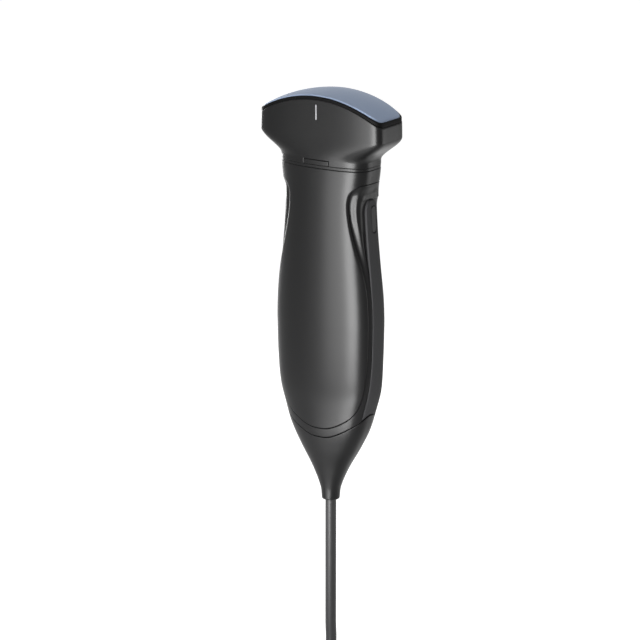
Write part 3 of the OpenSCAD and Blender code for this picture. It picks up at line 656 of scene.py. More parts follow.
def grain_group() -> bpy.types.NodeTree:
    """Group of the fine grain of a moulded surface.

    Returns:
        The group, with the inputs Colour, Grain Scale, Tone Spread and Roughness, and the outputs Colour,
        Roughness and Height.
    """
    found = bpy.data.node_groups.get("moulded_grain")
    if found:
        return found
    cloud_scale, pore_share, gloss_span = 55.0, 0.6, (0.92, 1.08)
    group = bpy.data.node_groups.new("moulded_grain", "ShaderNodeTree")
    for label, way, kind in (
        ("Colour", "INPUT", "Color"), ("Grain Scale", "INPUT", "Float"), ("Tone Spread", "INPUT", "Float"),
        ("Roughness", "INPUT", "Float"), ("Colour", "OUTPUT", "Color"), ("Roughness", "OUTPUT", "Float"),
        ("Height", "OUTPUT", "Float"),
    ):
        group.interface.new_socket(label, in_out=way, socket_type=f"NodeSocket{kind}")
    n = Nodes(group)
    given = n.add("NodeGroupInput").outputs
    place = n.add("ShaderNodeTexCoord").outputs["Object"]
    grain = n.noise(place, given["Grain Scale"], 3.0, 0.65)
    cloud = n.noise(place, cloud_scale, 4.0, 0.55)
    pores = n.add("ShaderNodeTexVoronoi", {"Vector": place, "Scale": given["Grain Scale"]})
    darker = n.maths("SUBTRACT", 1.0, given["Tone Spread"])
    lighter = n.maths("ADD", 1.0, given["Tone Spread"])
    tone = n.span(cloud, darker, lighter)
    shade = n.add("ShaderNodeVectorMath", {0: given["Colour"], "Scale": tone}, operation="SCALE")
    n.add("NodeGroupOutput", {
        "Colour": shade.outputs["Vector"],
        "Roughness": n.maths("MULTIPLY", given["Roughness"], n.span(grain, *gloss_span)),
        "Height": n.maths("MULTIPLY_ADD", pores.outputs["Distance"], pore_share, grain),
    })
    return group


@dataclass(frozen=True)
class Finish:
    """Finish of a surface: a moulded grain with its own colour, gloss and relief in millimetres."""

    name: str
    colour: Colour
    roughness: float
    grain: float = 2600.0
    spread: float = 0.05
    relief: float = 0.02
    bump: float = 0.35
    ior: float = 1.45
    coat: float = 0.0
    coat_roughness: float = 0.2
    subsurface: float = 0.0
    bleed: Colour = (1.0, 1.1, 1.4)
    bleed_l: float = 0.8

    def shader(self, n: Nodes) -> bpy.types.Node:
        """Adds the surface shader and the grain that feeds it.

        Args:
            n: Nodes of the material.

        Returns:
            The surface shader's node.
        """
        given = {"Colour": tint(self.colour), "Grain Scale": self.grain, "Tone Spread": self.spread,
                 "Roughness": self.roughness}
        grain = n.add("ShaderNodeGroup", given, node_tree=grain_group()).outputs
        bump = {"Strength": self.bump, "Distance": self.relief * MM, "Height": grain["Height"]}
        feeds = {"Base Color": grain["Colour"], "Roughness": grain["Roughness"], "IOR": self.ior,
                 "Normal": n.add("ShaderNodeBump", bump).outputs["Normal"]}
        if self.coat:
            feeds.update({"Coat Weight": self.coat, "Coat Roughness": self.coat_roughness})
        if self.subsurface:
            feeds.update({"Subsurface Weight": self.subsurface, "Subsurface Radius": self.bleed,
                          "Subsurface Scale": self.bleed_l * MM})
        return n.add("ShaderNodeBsdfPrincipled", feeds)

    def material(self) -> bpy.types.Material:
        """Gives the finish's material, made once.

        Returns:
            The material.
        """
        label = f"{self.name}_finish"
        found = bpy.data.materials.get(label)
        if found:
            return found
        made = bpy.data.materials.new(label)
        n = Nodes.fresh(made)
        n.add("ShaderNodeOutputMaterial", {"Surface": self.shader(n).outputs["BSDF"]})
        return made


@dataclass(frozen=True)
class BrushedFinish(Finish):
    """Finish of drawn or brushed metal, with fine lines along one axis."""

    lines: Tuple[float, float, float] = (200.0, 9000.0, 9000.0)
    smoother: float = 0.08
    rougher: float = 0.1

    def shader(self, n: Nodes) -> bpy.types.Node:
        """Adds the metal shader and its lines.

        Args:
            n: Nodes of the material.

        Returns:
            The surface shader's node.
        """
        place = n.add("ShaderNodeTexCoord").outputs["Object"]
        stretch = n.add("ShaderNodeMapping", {"Scale": self.lines, "Vector": place}).outputs["Vector"]
        lines = n.noise(stretch, 1.0, 3.0, 0.6)
        darker, lighter = tint(self.colour, 1 - self.spread), tint(self.colour, 1 + self.spread)
        return n.add("ShaderNodeBsdfPrincipled", {
            "Base Color": n.blend(lines, darker, lighter),
            "Roughness": n.span(lines, self.roughness - self.smoother, self.roughness + self.rougher),
            "Metallic": 1.0,
        })


@dataclass(frozen=True)
class BoardFinish(Finish):
    """Finish of a circuit board: solder mask over fine tracks."""

    track_scale: float = 160.0
    track_w: float = 0.06
    track_tone: float = 1.9
    track_rougher: float = 0.12

    def shader(self, n: Nodes) -> bpy.types.Node:
        """Adds the mask's shader with tracks that show through it.

        Args:
            n: Nodes of the material.

        Returns:
            The surface shader's node.
        """
        place = n.add("ShaderNodeTexCoord").outputs["Object"]
        turn = {"Rotation": (math.radians(90), 0, 0), "Vector": place}
        upright = n.add("ShaderNodeMapping", turn).outputs["Vector"]
        bricks = {"Scale": self.track_scale, "Mortar Size": self.track_w, "Vector": upright}
        tracks = n.add("ShaderNodeTexBrick", bricks).outputs["Fac"]
        bump = n.add("ShaderNodeBump", {"Distance": self.relief * MM, "Height": tracks})
        return n.add("ShaderNodeBsdfPrincipled", {
            "Base Color": n.blend(tracks, tint(self.colour), tint(self.colour, self.track_tone)),
            "Roughness": n.span(tracks, self.roughness, self.roughness + self.track_rougher),
            "Normal": bump.outputs["Normal"],
        })


HOUSING = Finish(
    "satin_charcoal_plastic", (0.0022, 0.0022, 0.0023), 0.29, grain=2200.0, relief=0.008, ior=1.25
)
PAD = Finish("soft_touch_pad", (0.022, 0.022, 0.023), 0.6, grain=3000.0, relief=0.02, ior=1.2)
KEY = Finish("key_plastic", (0.02, 0.02, 0.0205), 0.5, grain=2600.0, relief=0.015, ior=1.22)
RING = Finish("neck_ring", (0.002, 0.002, 0.0021), 0.32, relief=0.01, ior=1.24)
SEAL = Finish("seal_rubber", (0.002, 0.002, 0.002), 0.5, relief=0.012, ior=1.12)
BOOT = Finish("boot_elastomer", (0.002, 0.002, 0.0021), 0.32, grain=2200.0, relief=0.008, ior=1.25)
JACKET = Finish("cable_jacket", (0.011, 0.011, 0.0115), 0.4, grain=1800.0, relief=0.012, ior=1.33)
LENS = Finish(
    "lens_silicone", (0.21, 0.265, 0.37), 0.45, grain=900.0, spread=0.02, relief=0.006, ior=1.36,
    subsurface=0.15,
)
INK = Finish("mark_ink", (0.2, 0.2, 0.21), 0.6, spread=0.04)
MATCHING = Finish("matching_resin", (0.2, 0.2, 0.24), 0.45)
CERAMIC = Finish("piezo_ceramic", (0.6, 0.52, 0.36), 0.6, grain=4000.0, spread=0.08)
BACKING = Finish("backing_resin", (0.08, 0.07, 0.06), 0.7, spread=0.15, relief=0.05)
FRAME = Finish("frame_plastic", (0.1, 0.1, 0.11), 0.6, relief=0.04)
FILM = Finish("polyimide_film", (0.55, 0.26, 0.05), 0.3, grain=600.0, coat=0.4)
SOCKET = Finish("socket_plastic", (0.75, 0.72, 0.62), 0.55)
CHIP = Finish("chip_resin", (0.02, 0.02, 0.022), 0.6, grain=5000.0, relief=0.03)
WIRE = Finish("wire_insulation", (0.45, 0.06, 0.04), 0.4)
BOARD = BoardFinish("board_laminate", (0.02, 0.16, 0.07), 0.35, relief=0.03)
SHIELD = BrushedFinish("shield_steel", (0.6, 0.6, 0.62), 0.32)
SPREADER = BrushedFinish("spreader_aluminium", (0.72, 0.73, 0.74), 0.38)
SCREW = BrushedFinish("screw_steel", (0.55, 0.55, 0.57), 0.35, lines=(2000.0, 2000.0, 2000.0))
GOLD = BrushedFinish("contact_gold", (0.8, 0.6, 0.25), 0.25)


def dress(piece: bpy.types.Object, finish: Finish) -> bpy.types.Object:
    """Puts one finish on a whole piece.

    Args:
        piece: The piece.
        finish: Its finish.

    Returns:
        The same piece.
    """
    material = finish.material()
    if piece.data.materials:
        for slot in piece.material_slots:
            slot.material = material
    else:
        piece.data.materials.append(material)
    return piece


def fit(
    piece: bpy.types.Object, finish: Finish, slot: str, *nodes: str, body: Body = Body.PROBE
) -> bpy.types.Object:
    """Dresses a new piece, puts it on its body and lets it stand for its solids.

    Args:
        piece: The new piece.
        finish: Its finish.
        slot: Name of a material slot. Not used.
        nodes: Solids that the piece replaces.
        body: Body that the piece rides on.

    Returns:
        The same piece.
    """
    dress(piece, finish)
    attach(piece, body.value)
    if nodes:
        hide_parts(*nodes)
    LOG.info("%s: %d faces", piece.name, len(piece.data.polygons))
    return piece


# Studio


def facing(azimuth: float, elevation: float) -> Vector:
    """Direction from the probe to a place, the azimuth counted from its front to its right side."""
    a, e = math.radians(azimuth), math.radians(elevation)
    return Vector((math.sin(a) * math.cos(e), -math.cos(a) * math.cos(e), math.sin(e)))


def stand(name: str, data: bpy.types.ID, place: Vector, way: Vector) -> bpy.types.Object:
    """Adds a camera or a lamp that looks back along a direction.

    Args:
        name: Name of the new object.
        data: Its camera or lamp.
        place: Where it stands.
        way: Direction against which it looks.

    Returns:
        The new object.
    """
    holder = bpy.data.objects.new(name, data)
    holder.location = place
    holder.rotation_mode = "QUATERNION"
    holder.rotation_quaternion = (-way).to_track_quat("-Z", "Y")
    bpy.context.scene.collection.objects.link(holder)
    return holder


@dataclass
class Softbox:
    """Rectangular lamp that faces the probe, with a grid that narrows its light to an angle.

    Its place is given by azimuth and elevation, and by its distance from the point aim_z on the probe's axis.
    """

    name: str
    place: Tuple[float, float]
    distance: float
    width: float
    height: float
    radiance: float
    aim_z: float = -0.07
    grid: float = 180.0

    def build(self) -> None:
        """Adds the lamp, as strong as its radiance asks for."""
        lamp = bpy.data.lights.new(self.name, "AREA")
        lamp.shape = "RECTANGLE"
        lamp.size, lamp.size_y = self.width, self.height
        lamp.energy = self.radiance * math.pi * self.width * self.height
        if self.grid < 180:
            half = math.radians(self.grid / 2)
            lamp.spread = 2 * half
            lamp.energy *= (math.tan(half) - half) / math.tan(half)
        way = facing(*self.place)
        holder = stand(self.name, lamp, Vector((0, 0, self.aim_z)) + way * self.distance, way)
        holder.visible_camera = False


@dataclass
class Studio:
    """Camera, lamps, floor and surroundings."""

    azimuth: float = 34.47
    elevation: float = 15.48
    distance: float = 1.5
    target_z: float = -0.0765
    aside: float = 0.00514
    lens: float = 180.68
    sensor: float = 36.0
    clip: Tuple[float, float] = (0.05, 50.0)
    floor_z: float = -0.272
    floor_size: float = 14.0
    floor_tone: float = 0.4
    floor_glow: float = 0.87
    ambient: float = 0.35
    lamps: Tuple[Softbox, ...] = (
        Softbox("key", (8, -9), 0.5, width=0.17, height=0.26, radiance=37.0, aim_z=-0.06),
        Softbox("fill", (-13, -9), 0.5, width=0.24, height=0.26, radiance=11.5, aim_z=-0.06),
        Softbox("low", (6, -30.8), 0.25, width=0.12, height=0.05, radiance=44.0, aim_z=-0.12, grid=45),
        Softbox("low_fill", (-20, -30.8), 0.25, width=0.12, height=0.05, radiance=14.0, aim_z=-0.12, grid=45),
        Softbox("side", (128, -14), 0.6, width=0.34, height=0.3, radiance=3.4, aim_z=-0.05),
        Softbox("back", (248, 4), 0.8, width=0.4, height=0.4, radiance=9.0, aim_z=-0.05),
        Softbox("top", (20, 80), 0.9, width=0.8, height=0.8, radiance=1.6),
    )

    def camera(self) -> None:
        """Adds the camera at the photograph's viewing angle."""
        turn = math.radians(self.azimuth)
        right = Vector((math.cos(turn), math.sin(turn), 0))
        back = facing(self.azimuth, self.elevation)
        data = bpy.data.cameras.new("camera")
        data.lens, data.sensor_width, data.sensor_fit = self.lens, self.sensor, "HORIZONTAL"
        data.clip_start, data.clip_end = self.clip
        place = Vector((0, 0, self.target_z)) - right * self.aside + back * self.distance
        bpy.context.scene.camera = stand("camera", data, place, back)

    def _pale(self, n: Nodes) -> bpy.types.NodeSocket:
        """Finds the rays that see the background itself: from the camera, a gloss or a clear piece.

        Args:
            n: Nodes of the material or world.

        Returns:
            The socket that gives 1 for them and 0 for the others.
        """
        path = n.add("ShaderNodeLightPath").outputs
        first = n.maths("MAXIMUM", path["Is Camera Ray"], path["Is Glossy Ray"])
        return n.maths("MAXIMUM", first, path["Is Transmission Ray"])

    def surroundings(self) -> None:
        """Sets the world: a dim light all round that shows as white."""
        world = bpy.data.worlds.new("surroundings")
        bpy.context.scene.world = world
        n = Nodes.fresh(world)
        feeds = {"Color": (1, 1, 1, 1), "Strength": n.span(self._pale(n), self.ambient, 1.0)}
        light = n.add("ShaderNodeBackground", feeds)
        n.add("ShaderNodeOutputWorld", {"Surface": light.outputs["Background"]})

    def floor(self) -> None:
        """Adds the pale floor, which keeps the shadow."""
        half, z = self.floor_size / 2, self.floor_z
        mesh = bpy.data.meshes.new("floor")
        corners = [(-half, -half, z), (half, -half, z), (half, half, z), (-half, half, z)]
        mesh.from_pydata(corners, [], [(0, 1, 2, 3)])
        floor = bpy.data.objects.new("floor", mesh)
        bpy.context.scene.collection.objects.link(floor)
        made = bpy.data.materials.new("pale_floor")
        n = Nodes.fresh(made)
        matt = n.add("ShaderNodeBsdfDiffuse", {"Color": tint((self.floor_tone,) * 3)})
        glow = n.add("ShaderNodeEmission", {"Strength": n.span(self._pale(n), 0.0, self.floor_glow)})
        both = n.add("ShaderNodeAddShader", {0: matt.outputs[0], 1: glow.outputs[0]})
        n.add("ShaderNodeOutputMaterial", {"Surface": both.outputs[0]})
        mesh.materials.append(made)

    def build(self) -> None:
        """Builds the studio around the probe."""
        self.camera()
        self.surroundings()
        self.floor()
        for lamp in self.lamps:
            lamp.build()
        bpy.context.scene.view_settings.view_transform = "Standard"


# Cable and plug


@dataclass
class Cable:
    """Free cable from the boot through the coil to the plug, along the route of the solids."""

    diameter: float = 5.2
    route: Tuple[Point, ...] = (
        (0, 0, -164), (0, 0, -180), (0, 0, -196), (0, 0, -212), (0, 0, -226), (0, 0, -239),
        (-2.6, -2, -251.4), (-9.9, -7.4, -260.4), (-19.8, -14.8, -263.7), (-24, -18, -263.7),
    )
    tail_steps: Tuple[Point, ...] = ((0, 0, 0), (0, 5, 0.1), (0, 10, 0.4), (0, 15, 0.5))
    way: Point = (-0.8, -0.6, 0.0)
    coil_r: float = 40.0
    coil_pitch: float = 5.8
    full_turns: int = 6
    turn_back: float = 0.1
    layer_turns: float = 0.5
    lead: float = 5.2
    sides: int = 20
    rings_per_turn: int = 48
    steps: int = 4

    def _spline(self, points: Array) -> Array:
        """Smooth line through points.

        Args:
            points: Points that the line goes through.

        Returns:
            The line, with several steps between two of the points.
        """
        p = np.asarray(points, float)
        out = []
        for i in range(len(p) - 1):
            a, b, c, d = p[max(0, i - 1)], p[i], p[i + 1], p[min(len(p) - 1, i + 2)]
            bend, twist = 2 * a - 5 * b + 4 * c - d, 3 * b - a - 3 * c + d
            for u in np.arange(self.steps) / self.steps:
                out.append(0.5 * (2 * b + (c - a) * u + bend * u * u + twist * u**3))
        out.append(p[-1])
        return np.array(out)

    def path(self) -> Array:
        """Centre line from the boot to the plug's relief.

        Returns:
            Points of the line: the drop, a spiral that runs in, turns back and runs out one layer lower, and
            the tail.
        """
        drop = self._spline(np.array(self.route))
        way = np.array(self.way)
        first = math.radians(90 + math.degrees(math.asin(-self.way[1])))
        turns = self.full_turns + (360 - math.degrees(first)) / 360
        mid = drop[-1] + self.lead * way - self.coil_r * np.array([math.cos(first), math.sin(first), 0])

        def away(u: Values) -> Values:
            """Turns from the place where the spiral turns back."""
            return np.sqrt(u * u + self.turn_back**2) - self.turn_back

        t = np.linspace(0, turns, int(turns * self.rings_per_turn) + 1)
        u = t - turns / 2
        r = self.coil_r - self.coil_pitch * (away(turns / 2) - away(u))
        angle = first + 2 * math.pi * t
        z = -self.coil_pitch * ease(u / self.layer_turns + 0.5)
        coil = mid + np.stack([r * np.cos(angle), r * np.sin(angle), z], -1)
        end = coil[-1] + np.array([0, self.lead, 0])
        return np.concatenate([drop, coil, self._spline(end + np.array(self.tail_steps))])

    def build(self, with_pieces: Sequence[bpy.types.Object]) -> None:
        """Args:
            with_pieces: The plug's pieces at the cable's end. Not used.
        """
        path = self.path()
        shape = Shape()
        shape.rings(tube_rings(path, self.diameter / 2, self.sides))
        cable = fit(shape.build("cable"), JACKET, "cable_jacket", "cable_drop", "cable_coil", "cable_tail")


@dataclass
class Plug:
    """Plug at the far end: a rounded body. Relief, shell, insert and contacts are the solids."""

    corner_power: float = 4.2
    back_edge_r: float = 0.5
    front_edge_r: float = 0.8
    edge_steps: Tuple[float, ...] = (0.05, 0.12, 0.22, 0.36, 0.55, 0.8)
    rows: int = 12
    columns: int = 96

    def build(self) -> List[bpy.types.Object]:
        """Builds the plug's body and dresses its other pieces.

        Returns:
            All the pieces of the plug.
        """
        low, high = (np.array(c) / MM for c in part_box("plug_body"))
        mid = (low + high) / 2
        a, b = (high[0] - low[0]) / 2, (high[2] - low[2]) / 2
        turns = np.linspace(0, 360, self.columns, endpoint=False)
        across, deep = unit_outline(self.corner_power, self.corner_power, turns)
        places = spread(0, high[1] - low[1], self.rows, self.edge_steps)
        rings = []
        for y in places:
            inset = float(roll(y, self.back_edge_r)) + float(roll(places[-1] - y, self.front_edge_r))
            x, z = mid[0] + (a - inset) * across, mid[2] - (b - inset) * deep
            rings.append(np.stack([x, np.full(self.columns, low[1] + y), z], -1))
        shape = Shape()
        shape.rings(rings)
        pieces = [fit(shape.build("plug_shell_cover"), BOOT, "boot_elastomer", "plug_body")]
        for name, finish in (
            ("plug_relief", BOOT), ("plug_shell", SHIELD), ("plug_insert", CHIP), ("plug_contacts", GOLD),
        ):
            pieces.append(dress(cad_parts[name], finish))
        return pieces


# Head


@dataclass
class Head:
    """Nose housing with its gasket, lens, centre mark and latch tab."""

    array_r: float = 60.0
    stack_t: float = 1.8
    crown: float = 1.2
    lip: float = 0.7
    lens_inset: float = 0.85
    lens_in: float = 3.0
    lens_edge_r: float = 0.6
    lens_edge_steps: int = 6
    face_gap: float = 0.5
    face_rows: int = 22
    gasket_h: float = 0.9
    gasket_in: float = 2.5
    bezel_h: float = 0.4
    bezel_gap: float = 0.06
    end_h: float = 0.5
    end_power: int = 12
    wall: float = 2.0
    rim_edge_r: float = 0.45
    rim_rows: int = 14
    flare_rows: int = 44
    seam_edge_r: float = 0.22
    level_z: float = 14.0
    level_run: float = 9.0
    tab_w: float = 13.6
    tab_h: float = 2.4
    tab_edge_r: float = 0.2
    tab_rows: int = 6
    tab_columns: int = 40
    neck_step: float = 0.6
    degree_mm: float = 0.42
    clear_angle: float = 1.3
    columns: int = 288
    rim_columns: int = 320

    # Steps of the gasket's edges: drop from the face, and distance from the outer or the inner side
    foot_edge: Tuple[float, float] = (0.1, 0.12)
    outer_edge: Rows = ((0.22, 0.0), (0.12, 0.03), (0.05, 0.08), (0.0, 0.18))
    inner_edge: Rows = ((0.0, 0.12), (0.04, 0.04), (0.12, 0.0))

    @property
    def lens_r(self) -> float:
        """Radius of the lens at its front edge."""
        return self.array_r + self.stack_t

    @property
    def rim_r(self) -> float:
        """Radius of the housing's rim."""
        return self.lens_r - self.lip - self.gasket_h

    @property
    def arc_z(self) -> float:
        """Height of the array's centre of curvature."""
        return FORM.crest_h - self.crown - self.lens_r

    def arc(self, r: float, x: Values) -> Array:
        """Height of an arc of radius r over x."""
        return self.arc_z + np.sqrt(np.maximum(r * r - np.asarray(x) ** 2, 0))

    @property
    def rim_end_z(self) -> float:
        """Height of the rim at its ends."""
        return float(self.arc(self.rim_r, (FORM.head_w - FORM.head_draft) / 2))

    @property
    def tab_angle(self) -> float:
        """Angle of the tab's right edge."""
        return math.degrees(math.acos(self.tab_w / FORM.neck_w))

    def _angles(self) -> Array:
        """Columns round the housing, closer at its corners and at the tab's edges.

        Returns:
            Their angles.
        """
        edges = [self.tab_angle, 180 - self.tab_angle]
        near = [e + s * d / self.degree_mm for e in edges for d in FINE for s in (-1, 1)]
        even = [
            a for a in corner_columns(self.columns) if min(abs(a - e) for e in edges) > self.clear_angle
        ]
        return np.array(sorted(even + near + edges))

    def _rows(self) -> Tuple[Array, int]:
        """Rows of the housing: curved like the rim at the top, and level from level_z down.

        Returns:
            Share of the way from the rim to the level rows and level height of each row, and the number of
            the row at the tab's top.
        """
        top, step = self.tab_h, self.neck_step
        curved = [0.0] + [d / self.level_run for d in FINE] + list(np.linspace(0.1, 0.95, self.rim_rows))
        level = list(np.linspace(self.level_z, top + step, self.flare_rows))
        level += [top + d for d in reversed(FINE)] + [top]
        below = [top - step, top - 2 * step, step] + list(reversed(FINE)) + [0.0]
        rows = [(v, self.level_z) for v in curved] + [(1.0, h) for h in level + below]
        return np.array(rows), len(curved) + len(level) - 1

    def housing(self) -> None:
        """Builds the nose housing with rounded edges and the notch for the tab."""
        phi = self._angles()
        rows, tab_row = self._rows()
        v, z = rows[:, :1], rows[:, 1:]
        nominal = np.where(v < 1, mix(self.rim_end_z, z, v), z)
        bare = FORM.at(nominal, phi[None, :])
        lift = np.where(v < 1, mix(self.arc(self.rim_r, bare[..., 0]), z, v), z)
        bare[..., 2] = lift
        rim = FORM.at(self.rim_end_z, np.append(phi, phi[0] + 360))
        rim[:, 2] = self.arc(self.rim_r, rim[:, 0])
        tab, sides = self.tab_angle, np.linspace(0.0, self.tab_h, 20)
        neck, notch = np.linspace(180 - tab, 360 + tab, 500), np.linspace(tab, 180 - tab, 60)
        seams = [FORM.at(0.0, neck), FORM.at(sides, 180 - tab), FORM.at(sides, tab)]
        seams.append(FORM.at(self.tab_h, notch))
        inset = roll(border_distance(bare, [rim]), self.rim_edge_r)
        inset = np.maximum(inset, roll(border_distance(bare, seams), self.seam_edge_r))

        def keep(k: int, i: int) -> bool:
            """Leaves the notch for the tab open."""
            middle = (phi[i] + (phi[i + 1] if i + 1 < len(phi) else phi[0] + 360)) / 2
            return k < tab_row or not tab < middle < 180 - tab

        shape = Shape()
        inner = FORM.at(nominal, phi[None, :], self.wall, lift)
        shape.skin(FORM.at(nominal, phi[None, :], inset, lift), inner, True, keep)
        fit(shape.build("nose"), HOUSING, "housing_plastic", "nose_housing")

    def tab(self) -> None:
        """Builds the latch tab in its notch."""
        edge = self.tab_angle + float(FORM.degrees(SEAM_GAP, 0.0, self.tab_angle))
        near = tuple(d / self.degree_mm for d in FINE)
        phi = spread(edge, 180 - edge, self.tab_columns, near)[None, :]
        z = spread(self.tab_h - SEAM_GAP, 0.0, self.tab_rows, FINE)[:, None]
        bare = FORM.at(z, phi)
        border = border_distance(bare, [bare[0], bare[:, 0], bare[:, -1], bare[-1]])
        shape = Shape()
        shape.skin(FORM.at(z, phi, roll(border, self.tab_edge_r)), FORM.at(z, phi, self.wall), False)
        fit(shape.build("latch"), HOUSING, "housing_plastic", "latch_tab")

    def _band(self, r: float, inset: float, crown: float = 0.0, lift: float = 0.0) -> Array:
        """Ring of points over the rim's outline on an arc.

        Args:
            r: Radius of the arc.
            inset: Distance from the outline inwards.
            crown: Rise of the middle across the depth.
            lift: Rise of the two ends.

        Returns:
            The points of the ring.
        """
        z = self.rim_end_z
        half_w = float(FORM.half_w(z))
        across, deep = unit_outline(*FORM.arch(z), corner_columns(self.rim_columns))
        x = max(half_w - inset, 0.0) * across
        y = max(float(FORM.half_d(z)) - inset, 0.0) * deep
        end = (np.abs(x) / half_w) ** self.end_power
        high = r + crown * (1 - (y / (FORM.head_d / 2)) ** 2) * (1 - end) + lift * end
        return np.stack([x, y, self.arc_z + np.sqrt(high**2 - x**2)], -1)

    def gasket(self) -> None:
        """Builds the dark gasket between housing and lens, with a bezel that stands up round the lens."""
        low, high = self.rim_r, self.rim_r + self.gasket_h
        top, out, inner = high + self.bezel_h, SEAM_GAP, self.lens_inset - self.bezel_gap
        rise, back = self.foot_edge
        bezel = [(top - drop, out + inset) for drop, inset in self.outer_edge]
        bezel += [(top - drop, inner - inset) for drop, inset in self.inner_edge]
        foot = ((low, self.gasket_in), (low, out + back), (low + rise, out))
        rings = [self._band(r, inset) for r, inset in foot]
        rings += [self._band(r, inset, lift=self.end_h) for r, inset in bezel]
        rings += [self._band(high, inner), self._band(high, self.gasket_in)]
        shape = Shape()
        shape.rings(rings + [rings[0]], False, False)
        fit(shape.build("gasket"), SEAL, "seal_rubber", "lens_gasket")

    def lens(self) -> None:
        """Builds the crowned lens with a rounded edge."""
        low, edge, base = self.rim_r + self.gasket_h, self.lens_edge_r, self.lens_inset
        foot = ((low, self.lens_in), (low, base), (low + self.lip - edge, base))
        rings = [self._band(r, inset) for r, inset in foot]
        for inset, drop in quarter_round(edge, self.lens_edge_steps):
            rings.append(self._band(self.lens_r - drop, base + inset, self.crown))
        depth = float(FORM.half_d(self.rim_end_z))
        for inset in np.linspace(base + edge + self.face_gap, depth, self.face_rows):
            rings.append(self._band(self.lens_r, float(inset), self.crown))
        shape = Shape()
        shape.rings(rings, True, False)
        fit(shape.build("lens"), LENS, "lens_silicone", "acoustic_lens")

    def build(self) -> None:
        """Builds all of the head."""
        self.housing()
        self.tab()
        self.gasket()
        self.lens()
        dress(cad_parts["centre_mark"], INK)


# Grip


